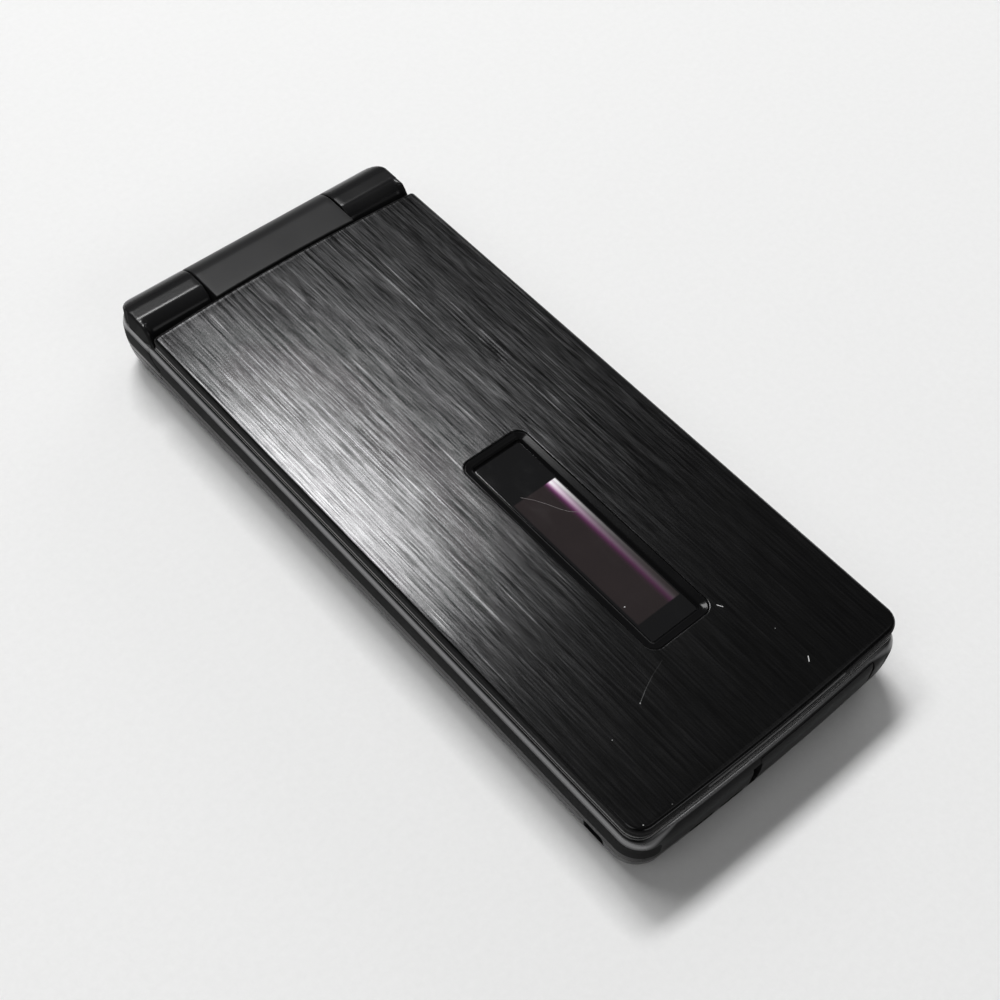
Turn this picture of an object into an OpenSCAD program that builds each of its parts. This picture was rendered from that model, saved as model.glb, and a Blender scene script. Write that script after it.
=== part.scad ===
// Slim flip phone, closed, lying on its back.
// X runs across the phone, Y towards the hinge and Z up. The origin is under the middle of the body.

/* [Body] */
// Width of the base half at its widest line
body_w = 50; // [48:0.5:56]
// Length from the hinge barrel to the tip
body_l = 116; // [114:0.5:126]
// Height of the seam between rear case and upper casing
seam_h = 4.25; // [4:0.05:4.6]
// How far the underside curls in from the widest line
belly_in = 2; // [1.6:0.1:2.4]
// How far the sides of the deck stand in from the widest line
shoulder_side = 0.45; // [0.2:0.05:0.8]
// How far the tip of the deck stands in from the widest line
shoulder_tip = 1.2; // [0.6:0.05:1.3]
// Plan radius of the corners of the base
corner_r = 4.1; // [3.5:0.1:4.6]
// Outward bow of the tip edge
tip_bow = 0.45; // [0:0.05:0.8]
// Thickness of the side walls below the deck
side_wall = 2.2; // [2:0.1:2.4]
// Thickness of the wall across the tip
tip_wall = 2.6; // [2.4:0.1:3]

/* [Stack of the base] */
// Thickness of the battery cover
cover_t = 1.2; // [1:0.05:1.4]
// Thickness of the rear case over the battery cover
floor_t = 0.65; // [0.5:0.05:0.8]
// Battery thickness
battery_t = 4.2; // [4:0.1:5.5]
// Battery width
battery_w = 34; // [30:0.5:35]
// Length of the space for camera, loudspeaker and shields, behind the battery bay
works_l = 44.4; // [41:0.2:47]
// Room around the battery
battery_gap = 0.15; // [0.1:0.05:0.25]
// Thickness of the roof of the battery bay
bay_roof = 0.5; // [0.4:0.05:0.8]
// Thickness of the walls around the battery bay
bay_wall = 0.8; // [0.6:0.1:1]
// Thickness of the main circuit board
board_t = 0.8; // [0.6:0.1:1.2]
// Thickness of the sheet of key domes
sheet_t = 0.45; // [0.3:0.05:0.8]
// Thickness of the plate that the keys stand in
deck_t = 0.8; // [0.6:0.1:1.2]
// Depth of the sunk key field
well_d = 0.6; // [0.5:0.05:0.8]

/* [Lid] */
// Thickness of the lid
lid_h = 2.75; // [2.7:0.05:3.2]
// Gap between lid and base when closed
parting = 0.25; // [0.2:0.05:0.35]
// How far the sides of the lid stand in from the widest line of the base
lid_side_in = 0.35; // [0.2:0.05:0.6]
// How far the tip of the lid stands in from the tip of the base
lid_tip_in = 1.1; // [0.9:0.05:1.4]
// Plan radius of the corners of the lid
lid_corner_r = 2.8; // [2:0.1:3.5]
// Outward bow of the hinge edge of the lid
lid_hinge_bow = 0.8; // [0.4:0.05:1]
// Height of the lower trim band of the lid
trim_h = 0.5; // [0.45:0.05:0.55]
// Height of the metal panel at the edge of the lid
plate_h = 1.03; // [0.95:0.01:1.1]
// Thickness of the metal panel
plate_t = 0.5; // [0.4:0.05:0.6]
// Radius of the rolled edge of the metal panel
plate_roll = 0.6; // [0.4:0.05:0.7]
// Height of the inner screw bosses of the lid
boss_h = 0.45; // [0.4:0.05:0.5]

/* [Sub display window] */
// Length of the window along the phone
window_l = 39.3; // [34:0.1:44]
// Width of the window
window_w = 11.5; // [9:0.1:14]
// Sideways place of the middle of the window
window_x = 0.7; // [-3:0.1:3]
// Distance from the tip of the lid to the window
window_tip = 18.2; // [14:0.1:24]
// Plan radius of the window corners
window_r = 1.8; // [1:0.1:2.5]
// Depth of the lens under the metal panel
window_d = 0.85; // [0.8:0.05:0.9]
// Width of the sloped frame around the lens
bezel_w = 1.5; // [1:0.1:2]
// Width of the flange that holds the sloped frame under the panel
bezel_flange = 0.7; // [0.5:0.1:1]
// Thickness of the window lens
lens_t = 0.4; // [0.3:0.05:0.45]
// Thickness of the sub display
sub_t = 0.37; // [0.3:0.01:0.4]

/* [Main display] */
// Distance from the side of the lid to the main lens
main_side = 3.45; // [3:0.05:5]
// Distance from the tip of the lid to the main lens
main_tip = 13; // [12:0.5:16]
// Distance from the hinge edge of the lid to the main lens
main_hinge = 9.3; // [8.6:0.1:12]
// Margin of the main lens around the display
main_margin = 1.2; // [0.8:0.1:1.4]
// Length of the black band of the lens past the display
main_band = 8; // [4:0.5:12]
// Thickness of the main display
main_t = 0.5; // [0.4:0.05:0.6]

/* [Lid fittings] */
// Distance from the side of the lid to its tip screws
lid_screw_side = 7.15; // [6.5:0.05:9]
// Distance from the tip of the lid to its tip screws
lid_screw_tip = 4.6; // [4.4:0.1:6]
// Length of the knuckle's tongue under the lid
tongue_reach = 4.9; // [4.6:0.1:5.2]
// Thickness of the knuckle's tongue
tongue_t = 0.65; // [0.5:0.05:0.7]
// Distance from the end of the knuckle to the screw in its tongue
tongue_screw_in = 3.4; // [3.2:0.1:4]
// Distance from the hinge edge of the lid to the tongue screws
tongue_screw_back = 2.8; // [2.6:0.1:3]
// Distance from the tip of the lid to the middle of the earpiece
ear_tip = 6; // [5:0.1:8]
// Length of the earpiece
ear_w = 11; // [8:0.5:14]
// Width of the earpiece
ear_d = 5; // [4:0.1:6]
// Thickness of the earpiece
ear_t = 0.45; // [0.4:0.01:0.48]
// Length of the earpiece grille
grille_w = 9; // [6:0.5:11]
// Width of the earpiece grille
grille_d = 1.4; // [1:0.1:2]
// Distance between the holes of the earpiece grille
grille_pitch = 1.1; // [0.9:0.05:1.3]
// Sideways place of the magnet
magnet_x = 10.5; // [9:0.1:12]
// Length of the magnet
magnet_w = 4; // [2:0.1:5]
// Length of a rubber pad
bumper_w = 5; // [3:0.1:6]
// Width of a rubber pad
bumper_d = 1.2; // [0.8:0.1:1.4]
// Distance from the side of the lid to the middle of a rubber pad
bumper_side = 5.6; // [5:0.1:8]
// Distance from the tip of the lid to the middle of a rubber pad
bumper_tip = 1.9; // [1.7:0.05:2.2]

/* [Hinge] */
// Radius of the hinge barrels
hinge_r = 4.9; // [4.8:0.1:5.3]
// Length of the middle knuckle
knuckle_l = 26; // [24:0.5:30]
// Sideways place of the middle of the knuckle
knuckle_x = 0.4; // [-1:0.1:1]
// Gap between the knuckle and each corner cap
knuckle_gap = 0.25; // [0.15:0.05:0.4]
// Gap between the hinge barrels and the hinge edge of the lid
lid_clear = 0.4; // [0.3:0.05:1]
// Rounding of the upper outer edge of the corner caps
cap_round = 0.8; // [0.4:0.1:1.2]
// Radius of the sprung hinge cartridge
can_r = 3.5; // [3:0.1:3.8]
// Length of the sprung hinge cartridge
can_l = 14; // [10:0.5:15]
// Radius of the cartridge's shaft
shaft_r = 1.5; // [1.2:0.1:1.8]
// Length of the shaft inside the cartridge
shaft_in = 8; // [5:0.5:9]
// Radius of the hollow pivot bush
bush_r = 2.5; // [2.3:0.1:2.9]
// Wall of the hollow pivot bush
bush_wall = 0.6; // [0.4:0.05:0.7]
// Length of the bush inside the knuckle
bush_in = 4.4; // [3:0.2:5]
// Radius of the posts that the corner caps sit on
post_r = 3.5; // [3.2:0.1:3.7]

/* [Keys] */
// Distance from the side of the base to the key field
field_side = 3; // [2.8:0.1:4]
// Distance from the tip to the key field
field_tip = 19.5; // [16:0.5:22]
// Distance from the hinge wall to the key field
field_hinge = 12.9; // [9:0.1:14]
// Gap between the key field's edge and the keys
field_gap = 0.6; // [0.5:0.05:1.2]
// Sideways gap between number keys
key_space_x = 1.1; // [1.05:0.05:1.6]
// Lengthwise gap between number keys
key_space_y = 2.2; // [1.2:0.1:2.4]
// Length of the call, clear and end keys
call_l = 6.6; // [5:0.1:7]
// Gap between the call keys and the navigation ring
nav_space = 3; // [1.5:0.1:4]
// Corner radius of the keys
key_r = 1.4; // [0.8:0.1:2]
// How far the keys stand above the key field
key_proud = 0.4; // [0.3:0.05:0.45]
// Travel of the keys
key_travel = 0.3; // [0.2:0.05:0.5]
// Thickness of the flange that retains a key
key_flange = 0.4; // [0.3:0.05:0.6]
// How far the flange reaches past the key
key_lip = 0.45; // [0.3:0.05:0.5]
// Gap around each key
key_gap = 0.12; // [0.08:0.02:0.2]
// Outer radius of the navigation ring
nav_r = 9; // [8:0.1:9.4]
// Radius of the centre key
centre_r = 3.9; // [3:0.1:4.5]
// Gap between the navigation ring and the soft keys
soft_space = 1.9; // [1.3:0.1:2.5]
// Length of a soft key
soft_l = 6; // [4:0.1:6.4]
// Length of the side key
side_key_l = 12; // [8:0.5:16]
// Height of the side key
side_key_h = 2.2; // [1.8:0.1:2.4]
// Distance from the hinge wall to the middle of the side key
side_key_hinge = 31; // [20:1:60]
// Thickness of the side key's flange
side_key_flange = 0.5; // [0.4:0.05:0.6]

/* [Tip end] */
// Left end of the port cover
port_left = -3.3; // [-5:0.1:-1]
// Place of the port cover's pivot
port_pivot_x = 18; // [16.5:0.1:19]
// Height of the deck's edge over the port cover
port_under = 0.7; // [0.5:0.05:0.9]
// Thickness of the port cover
port_t = 1.2; // [1:0.05:1.3]
// Gap around the port cover
port_gap = 0.1; // [0.06:0.02:0.16]
// Radius of the port cover's pivot pin
port_pin_r = 0.35; // [0.3:0.05:0.4]
// Width of the fingernail notch
notch_w = 1.5; // [1:0.1:2]
// Depth of the fingernail notch
notch_d = 1; // [0.6:0.1:1.2]
// Width of the connector shell
io_w = 12; // [10:0.5:12.5]
// Height of the connector shell
io_h = 3; // [2.6:0.1:3.1]
// Depth of the connector shell
io_l = 7; // [5:0.5:7.5]
// Wall of the connector shell
io_wall = 0.3; // [0.2:0.05:0.4]
// Width of a charging contact
contact_w = 4.3; // [3:0.1:4.6]
// Height of a charging contact slot
contact_h = 1.2; // [0.8:0.1:1.4]
// Distance between the middles of the charging contacts
contact_pitch = 5.3; // [5:0.1:6]
// Distance from the fingernail notch to the charging contacts
contact_off = 0.8; // [0.5:0.1:2]
// Depth of the charging contacts behind the tip
contact_deep = 1.4; // [1.2:0.1:1.8]
// Thickness of a charging contact
contact_t = 0.3; // [0.2:0.05:0.4]
// Depth of the connector's mouth behind the port cover
io_in = 0.2; // [0.1:0.05:0.4]

/* [Underside] */
// Distance from the widest line to the side of the battery cover
cover_side = 4.5; // [4.2:0.1:6]
// Distance from the battery bay to the hinge end of the cover
cover_past = 5; // [4.5:0.5:7]
// Travel of the battery cover before it lifts off
cover_travel = 4.5; // [4.2:0.1:5]
// How far a retaining tongue is shorter than the travel
hook_short = 0.5; // [0.4:0.1:1.5]
// Width of a retaining tongue
hook_w = 0.8; // [0.5:0.1:0.9]
// Thickness of a retaining tongue
hook_t = 0.4; // [0.3:0.05:0.5]
// Distance from the tip to the battery bay
bay_tip = 11; // [10.5:0.1:12]
// Distance from the tip to the middle of the strap slot
strap_tip = 8.55; // [8.2:0.05:9]
// Length of the strap slot
strap_l = 3.7; // [3:0.1:4]
// Depth of the strap slot
strap_d = 2.8; // [2.4:0.1:3]
// Height of the strap slot
strap_h = 3; // [2.6:0.1:3.2]
// Depth of the strap bar behind the widest line
strap_in = 1.6; // [1.4:0.1:1.7]
// Radius of the strap bar
strap_bar_r = 0.5; // [0.4:0.05:0.6]

/* [Inner parts] */
// Width of the battery's contact block
block_w = 10; // [8:0.5:12]
// Depth of the battery's contact block
block_d = 2.6; // [2.4:0.1:3]
// Height of the shields over the board's parts
shield_t = 1.6; // [1.2:0.1:2]
// Gap between neighbouring inner parts
part_gap = 2; // [1:0.1:2.4]
// Distance from the side of the base to the left end of the large shield
shield_left = 12; // [11:0.5:15]
// Distance from the side of the base to the right end of the large shield
shield_right = 6; // [5:0.5:10]
// Length of the large shield
shield_l = 13; // [8:0.5:14]
// Gap beside the small shield
shield_space = 1.5; // [1:0.1:2.5]
// Length of the small shield
small_shield_l = 17; // [10:0.5:19]
// Distance from the left side of the base to the middle of the camera
camera_side = 13; // [11:0.1:13.5]
// Side of the square camera module
camera_w = 8; // [6:0.5:9]
// Radius of the camera window
camera_r = 4.2; // [3:0.1:4.6]
// Thickness of the camera window
camera_t = 0.55; // [0.4:0.05:0.7]
// Distance from the right side of the base to the middle of the loudspeaker
speaker_side = 14.5; // [13:0.1:15]
// Radius of the loudspeaker
speaker_r = 7; // [5:0.1:7.5]
// Distance between the sound slots
slot_pitch = 2; // [1.6:0.1:2.4]
// Width of a sound slot
slot_w = 0.9; // [0.5:0.1:1.2]
// Length of the longest sound slot
slot_l = 8; // [5:0.5:10]
// Thickness of the loudspeaker
speaker_t = 3; // [2:0.1:3.4]
// Radius of the vibration motor
motor_r = 1.9; // [1.6:0.1:2]
// Length of the vibration motor
motor_l = 9; // [6:0.5:11]
// Distance from the side wall to the vibration motor
motor_side = 1.2; // [0.6:0.1:1.6]
// Distance from the left side of the base to the microphone
mic_side = 15; // [13:0.5:17]
// Distance from the tip to the microphone
mic_tip = 7.6; // [6.5:0.1:12]
// Radius of the microphone
mic_r = 1.9; // [1.5:0.1:2.2]
// Height of the microphone
mic_h = 1; // [0.8:0.05:1.1]

/* [Screws] */
// Radius of a screw's shank
screw_r = 0.6; // [0.5:0.05:0.7]
// Radius of a screw's head
head_r = 1.3; // [1.1:0.05:1.5]
// Height of a screw's head
head_h = 0.35; // [0.3:0.05:0.4]
// Radius of a screw boss
boss_r = 2; // [1.9:0.1:2.2]
// Distance from the side wall to the screws at the tip
screw_side_tip = 4.2; // [3.8:0.1:5]
// Distance from the side wall to the screws at the hinge
screw_side_hinge = 3.6; // [3.4:0.1:5]
// Distance from the tip to the first screws
screw_tip_in = 6; // [5.5:0.1:7]
// Distance from the hinge wall to the last screws
screw_hinge_in = 4.6; // [4:0.1:6]

/* [Clearances] */
// Gap between fitted pieces
snug = 0.05; // [0.03:0.01:0.08]
// Running clearance of shafts and pins
run_fit = 0.05; // [0.03:0.01:0.08]
// Gap between the board and what is under it
board_gap = 0.1; // [0.05:0.05:0.2]
// Gap between the turning knuckle and the base around it
swing_gap = 0.3; // [0.2:0.05:0.4]

/* [Hidden] */
$fn = 48;
eps = 0.01;

// Heights of the base, from the table up
floor_z = cover_t + snug;
inside_z = floor_z + floor_t;
battery_z = cover_t + battery_gap - snug;
bay_z = battery_z + battery_t + battery_gap;
board_z = bay_z + bay_roof + board_gap;
sheet_z = board_z + board_t + snug;
flange_z = sheet_z + sheet_t + snug + key_travel;
deck_z = flange_z + key_flange;
well_z = deck_z + deck_t;
base_h = well_z + well_d;
body_h = base_h + parting + lid_h;
key_top = well_z + key_proud;

// Hinge axis
hinge_y = body_l / 2 - hinge_r;
hinge_z = body_h - hinge_r;
lid_reach = hinge_r + lid_clear;
hinge_wall = 1.2;
deck_end = hinge_y - hinge_r - swing_gap;
knuckle_0 = knuckle_x - knuckle_l / 2;
knuckle_1 = knuckle_x + knuckle_l / 2;
ear_l = knuckle_0 - knuckle_gap;
ear_r = knuckle_1 + knuckle_gap;
cradle_z = hinge_z - hinge_r - swing_gap + 0.1;
cheek_in = body_w / 2 - side_wall;
cheek_front = 2.5;
cheek_rise = 2.45;
cap_end = 0.8;
post_end = cheek_in - 0.2;
arm_w = 1.2;
hex_r = shaft_r + 0.6;
hex_l = 7;

// Plan of the base
board_in = side_key_flange + key_travel + 0.2;
tip_y = -body_l / 2;
side_x = body_w / 2;
inner_x = side_x - side_wall;
inner_tip = tip_y + tip_wall;
inner_hinge = deck_end - hinge_wall;
corner_steps = 6;
bow_steps = 6;

// Heights of the lid, from the gap up
lid_z = base_h + parting;
band_z = lid_z + trim_h;
plate_z = body_h - plate_h;
plate_under = body_h - plate_t;
lens_z = body_h - window_d - lens_t;
glue = 0.03;
sub_z = lens_z - glue - sub_t;
main_z = sub_z - snug - main_t;
main_lens_z = lid_z + 0.02;
main_lens_t = main_z - snug - main_lens_z;
lid_frame_top = plate_under - snug;

// Plan of the lid
lid_x = side_x - lid_side_in;
lid_tip = tip_y + lid_tip_in;
lid_end = hinge_y - lid_reach;
rim_w = plate_roll + 0.1;
window_y = lid_tip + window_tip + window_l / 2;
lens_under = 1;
lens_w = window_w - 2 * bezel_w + 2 * lens_under;
lens_l = window_l - 2 * bezel_w + 2 * lens_under;
main_lens_w = 2 * (lid_x - main_side);
main_lens_l = lid_end - lid_tip - main_tip - main_hinge;
main_lens_y = lid_tip + main_tip + main_lens_l / 2;
main_w = main_lens_w - 2 * main_margin;
main_l = main_lens_l - 2 * main_margin - main_band;
main_y = lid_tip + main_tip + main_margin + main_l / 2;
tongue_y = lid_end - tongue_reach;
tongue_z = band_z + boss_h + snug;
tongue_in = 1;
lid_screws_at = [
    [lid_screw_side - lid_x, lid_tip + lid_screw_tip],
    [lid_x - lid_screw_side, lid_tip + lid_screw_tip],
    [knuckle_0 + tongue_screw_in, lid_end - tongue_screw_back],
    [knuckle_1 - tongue_screw_in, lid_end - tongue_screw_back]];
cap_t = (trim_h + boss_h - head_h) / 2 - snug;
bumper_in = 0.25;
ear_at = [0, lid_tip + ear_tip];
grille_t = 0.42;
magnet_at = [magnet_x, lid_tip + ear_tip - 0.5];
magnet_d = 2;
magnet_t = 0.4;
bumper_at = [for (s = [-1, 1]) [s * (lid_x - bumper_side), lid_tip + bumper_tip]];

// Flex ribbon through the hinge
flex_t = 0.15;
flex_r = bush_r - bush_wall - 0.2;
flex_z = band_z + 0.1;
bore_end = knuckle_0 + can_l + 1.6;
flex_x0 = bore_end + 0.4;
flex_w = knuckle_1 - tongue_screw_in - boss_r - 0.6 - flex_x0;
can_key_l = can_l - 4;
can_key_w = 1;
can_key_h = 0.5;

// Keys
well_x = side_x - field_side;
well_y0 = tip_y + field_tip;
well_y1 = inner_hinge - field_hinge;
nav_y = well_y1 - field_gap - nav_r;
call_y = nav_y - nav_r - nav_space - call_l / 2;
key_pitch_x = (2 * (well_x - field_gap) + key_space_x) / 3;
key_w = key_pitch_x - key_space_x;
key_pitch_y = (call_y - call_l / 2 - well_y0 - field_gap) / 4;
key_l = key_pitch_y - key_space_y;
row_0 = well_y0 + field_gap + key_l / 2;
col_x = [-key_pitch_x, 0, key_pitch_x];
soft_w = well_x - field_gap - nav_r - soft_space;
soft_x = well_x - field_gap - soft_w / 2;
soft_y = nav_y + nav_r - soft_l / 2;
ring_in = centre_r + key_gap;
NUMBER_KEYS = ["key_1", "key_2", "key_3", "key_4", "key_5", "key_6", "key_7", "key_8", "key_9",
               "key_star", "key_0", "key_hash"];
function number_at(i) = [col_x[i % 3], row_0 + (3 - floor(i / 3)) * key_pitch_y];
// Each rectangular key: name, middle, width, length
KEYS = concat(
    [for (i = [0:11]) [NUMBER_KEYS[i], number_at(i), key_w, key_l]],
    [["call_key", [col_x[0], call_y], key_w, call_l],
     ["clear_key", [col_x[1], call_y], key_w, call_l],
     ["end_key", [col_x[2], call_y], key_w, call_l],
     ["soft_key_left", [-soft_x, soft_y], soft_w, soft_l],
     ["soft_key_right", [soft_x, soft_y], soft_w, soft_l]]);
side_key_y = inner_hinge - side_key_hinge;
side_key_z = (seam_h + deck_z) / 2;
rest_gap = 0.02;
well_r = 3;

// Tip end
port_z = seam_h + snug;
port_top = base_h - port_under;
port_pivot_in = 0.75;
port_pivot_y = tip_y + tip_bow * pow(port_pivot_x / (side_x - corner_r), 2) + port_pivot_in;
port_pin_l = 0.5;
notch_under = 1.5;
notch_low = 1.05;
io_x = (port_left + port_pivot_x + port_pivot_in) / 2;
io_z = board_z + board_t / 2 - io_h / 2 - 0.2;
io_y = tip_y + port_t + port_gap + io_in;
contact_x = port_left - notch_w - contact_off - (contact_pitch + contact_w) / 2;
contacts_at = [contact_x - contact_pitch / 2, contact_x + contact_pitch / 2];
contact_top = seam_h + 0.35;

// Underside
bay_y0 = tip_y + bay_tip;
bay_y1 = inner_hinge - works_l;
battery_l = bay_y1 - bay_y0 - 2 * battery_gap;
bay_x = battery_w / 2 + battery_gap;
battery_y = (bay_y0 + bay_y1) / 2;
cover_w = 2 * (side_x - cover_side);
cover_end = bay_y1 + cover_past;
cover_gap = 0.1;
hook_l = cover_travel - hook_short;
hooks_at = [for (k = [0.12, 0.5, 0.9]) bay_y0 + k * battery_l];
hook_z = cover_t - hook_t;
strap_y = tip_y + strap_tip;
strap_z = seam_h - strap_h - snug;
strap_wall = 0.8;
strap_bar_x = -(side_x - strap_in - strap_bar_r);
strap_socket = 0.95;
shield_y = bay_y1 + block_d + part_gap;
second_y = shield_y + shield_l + part_gap;
camera_at = [camera_side - side_x, second_y + part_gap + camera_w / 2];
speaker_at = [side_x - speaker_side, second_y + part_gap + speaker_r];
motor_at = [-(inner_x - motor_r - motor_side), shield_y + shield_l / 2];
motor_z = inside_z + snug + motor_r;
between_0 = camera_at[0] + camera_w / 2 + shield_space;
between_1 = speaker_at[0] - speaker_r - shield_space;
shields = [[[shield_left - side_x, shield_y], [body_w - shield_left - shield_right, shield_l]],
           [[between_0, second_y], [between_1 - between_0, small_shield_l]]];
base_screws_at = [
    for (p = [[inner_x - screw_side_tip, tip_y + screw_tip_in],
              [inner_x - screw_side_hinge, inner_hinge - screw_hinge_in]], s = [-1, 1]) [s * p[0], p[1]]];
head_z = floor_z + snug + head_h;
barrel_r = camera_w / 2 - 0.7;
screw_top = deck_z - 0.3;
mic_at = [mic_side - side_x, tip_y + mic_tip];
block_z = inside_z + 0.25;

// Points of a quarter circle, counter-clockwise from angle a
function corner(cx, cy, r, a) =
    [for (i = [0:corner_steps]) let (t = a + 90 * i / corner_steps) [cx + r * cos(t), cy + r * sin(t)]];

// Points between the ends of an edge of half length x at height y that bows out by b
function bowed(x, y, b) =
    [for (i = [1:bow_steps - 1]) let (k = 1 - 2 * i / bow_steps) [k * x, y + b * (1 - k * k)]];

// Plan outline with straight sides at -x and x, from y0 to y1, its ends bowed by b0 and b1
function plan(x, y0, y1, r0, r1, b0 = 0, b1 = 0) = concat(
    corner(x - r0, y0 + b0 + r0, r0, -90),
    corner(x - r1, y1 - b1 - r1, r1, 0),
    bowed(x - r1, y1 - b1, b1),
    corner(-(x - r1), y1 - b1 - r1, r1, 90),
    corner(-(x - r0), y0 + b0 + r0, r0, 180),
    bowed(-(x - r0), y0 + b0, -b0));

// Rounded rectangle about the origin
function pad(w, l, r) = plan(w / 2, -l / 2, l / 2, r, r);

// Solid through outlines of equal length, each given as [height, points], from the bottom up
module loft(levels) {
    n = len(levels[0][1]);
    m = len(levels);
    points = [for (level = levels) for (p = level[1]) [p[0], p[1], level[0]]];
    sides = [for (j = [0:m - 2]) for (i = [0:n - 1])
        let (a = j * n + i, b = j * n + (i + 1) % n)
        each [[a, a + n, b + n], [a, b + n, b]]];
    first = corner_steps / 2;
    bottom = [for (i = [0:n - 1]) (first + i) % n];
    top = [for (i = [0:n - 1]) (m - 1) * n + (first + n - i) % n];
    polyhedron(points, concat([bottom], sides, [top]));
}

// Straight block over an outline
module slab(points, z0, z1) {
    translate([0, 0, z0]) linear_extrude(z1 - z0) polygon(points);
}

// Box given by its two corners
module box(low, high) {
    translate(low) cube(high - low);
}

// Cylinder along X from x0 to x1 about the hinge axis
module axle(r, x0, x1, sides = 48) {
    translate([x0, hinge_y, hinge_z]) rotate([0, 90, 0]) cylinder(r = r, h = x1 - x0, $fn = sides);
}

// How far the outside of the base stands in from its widest line at height z
function curl(z, shoulder) = z < hinge_z
    ? belly_in * (1 - sqrt(1 - pow(1 - z / hinge_z, 2)))
    : shoulder * pow((z - hinge_z) / (base_h - hinge_z), 2);

function base_plan(z, cap = false) =
    let (s = cap && z > hinge_z ? 0 : curl(z, shoulder_side),
         t = curl(z, shoulder_tip),
         round = cap ? cap_edge(z) : 0,
         up = cap ? 0 : max(0, (z - hinge_z) / (base_h - hinge_z)),
         r = corner_r - (corner_r - lid_corner_r) * up)
    plan(side_x - s - round, tip_y + t, body_l / 2 - min(s, curl(min(z, hinge_z), 0)) - round, r, r, tip_bow);

// Rounding of a corner cap's upper edge at height z
function cap_edge(z) = let (k = max(0, z - (body_h - cap_round)) / cap_round)
    cap_round * (1 - sqrt(max(0, 1 - k * k)));

// Heights from z0 to z1 in n equal steps
function steps(z0, z1, n) = [for (i = [0:n]) z0 + (z1 - z0) * i / n];

// Outside of the base between two heights
module base_hull(heights) {
    loft([for (z = heights) [z, base_plan(z)]]);
}

// ---------- Lid ----------

function lid_plan(cut = 0) =
    let (r = max(lid_corner_r - cut, 0.4))
    plan(lid_x - cut, lid_tip + cut, lid_end - cut, r, r, tip_bow, lid_hinge_bow);

module lid_plate() {
    turn = [for (a = [0:15:90]) [body_h - plate_roll * (1 - sin(a)), plate_roll * (1 - cos(a))]];
    color([0.13, 0.13, 0.14]) difference() {
        loft(concat([[plate_z, lid_plan()]], [for (t = turn) [t[0], lid_plan(t[1])]]));
        slab(lid_plan(rim_w), plate_z - 1, plate_under);
        translate([window_x, window_y]) slab(pad(window_w, window_l, window_r), plate_z, body_h + 1);
    }
}

module window_bezel() {
    inner_w = window_w - 2 * bezel_w;
    inner_l = window_l - 2 * bezel_w;
    lip_z = lens_z + lens_t + 0.02;
    color([0.07, 0.07, 0.075]) translate([window_x, window_y]) difference() {
        union() {
            slab(pad(window_w - 2 * snug, window_l - 2 * snug, window_r), lip_z, body_h - 0.02);
            slab(pad(window_w + 2 * bezel_flange, window_l + 2 * bezel_flange, window_r), lip_z,
                 plate_under - snug);
        }
        loft([[lip_z - 1, pad(inner_w, inner_l, window_r * 0.6)],
              [lip_z + 0.1, pad(inner_w, inner_l, window_r * 0.6)],
              [body_h, pad(window_w - 0.3, window_l - 0.3, window_r)]]);
    }
}

module sub_display_lens() {
    color([0.03, 0.03, 0.035]) translate([window_x, window_y])
        slab(pad(lens_w, lens_l, window_r * 0.6), lens_z, lens_z + lens_t);
}

module sub_display() {
    color([0.12, 0.05, 0.1]) translate([window_x, window_y])
        slab(pad(lens_w - 0.4, lens_l - 0.4, 0.5), sub_z, sub_z + sub_t);
}

// Everything that is let into the lid frame
module lid_pockets() {
    translate([0, main_lens_y])
        slab(pad(main_lens_w + 0.4, main_lens_l + 0.4, 1), lid_z, main_z + main_t + snug);
    translate([window_x, window_y]) {
        slab(pad(lens_w + 2 * snug, lens_l + 2 * snug, window_r * 0.6), main_z, body_h);
        slab(pad(window_w + 2 * bezel_flange + 2 * snug, window_l + 2 * bezel_flange + 2 * snug, window_r),
             lens_z + lens_t, body_h);
    }
    box([knuckle_0 + tongue_in - snug, tongue_y - 0.2, lid_z],
        [knuckle_1 - tongue_in + snug, lid_end + 2, tongue_z + tongue_t + snug]);
    translate(ear_at) slab(pad(ear_w + 2 * snug, ear_d + 2 * snug, 1), lid_z, band_z + ear_t + 2 * snug);
    translate(magnet_at) slab(pad(magnet_w + 2 * snug, magnet_d + 2 * snug, 0.3), lid_z,
                              band_z + magnet_t + 2 * snug);
    for (p = lid_screws_at) translate([p[0], p[1], lid_z]) {
        cylinder(r = boss_r + snug, h = trim_h + boss_h + snug);
        cylinder(r = screw_r + 0.02, h = lid_frame_top - lid_z - 0.1);
    }
}

module lid_frame() {
    color([0.08, 0.08, 0.085]) difference() {
        union() {
            slab(lid_plan(), band_z, plate_z - 0.02);
            slab(lid_plan(rim_w + snug), plate_z - 0.5, lid_frame_top);
        }
        lid_pockets();
    }
}

module lid_inner_case() {
    chamfer = 0.2;
    color([0.17, 0.17, 0.18]) difference() {
        union() {
            loft([[lid_z, lid_plan(chamfer)], [lid_z + chamfer, lid_plan()], [band_z - 0.02, lid_plan()]]);
            for (p = lid_screws_at) translate([p[0], p[1], lid_z]) cylinder(r = boss_r, h = trim_h + boss_h);
        }
        translate([0, main_lens_y]) slab(pad(main_lens_w, main_lens_l, 1), lid_z - 1, band_z + 1);
        translate(ear_at) slab(pad(grille_w, grille_d, grille_d / 2 - 0.05), lid_z - 1, band_z + 1);
        for (p = lid_screws_at) translate([p[0], p[1], lid_z - 1]) {
            cylinder(r = head_r + snug, h = trim_h + boss_h - cap_t + 1);
            cylinder(r = screw_r + 0.08, h = trim_h + boss_h + 2);
        }
        for (p = bumper_at) translate(p) slab(pad(bumper_w, bumper_d, 0.5), lid_z - 1, lid_z + bumper_in);
    }
}

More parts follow.
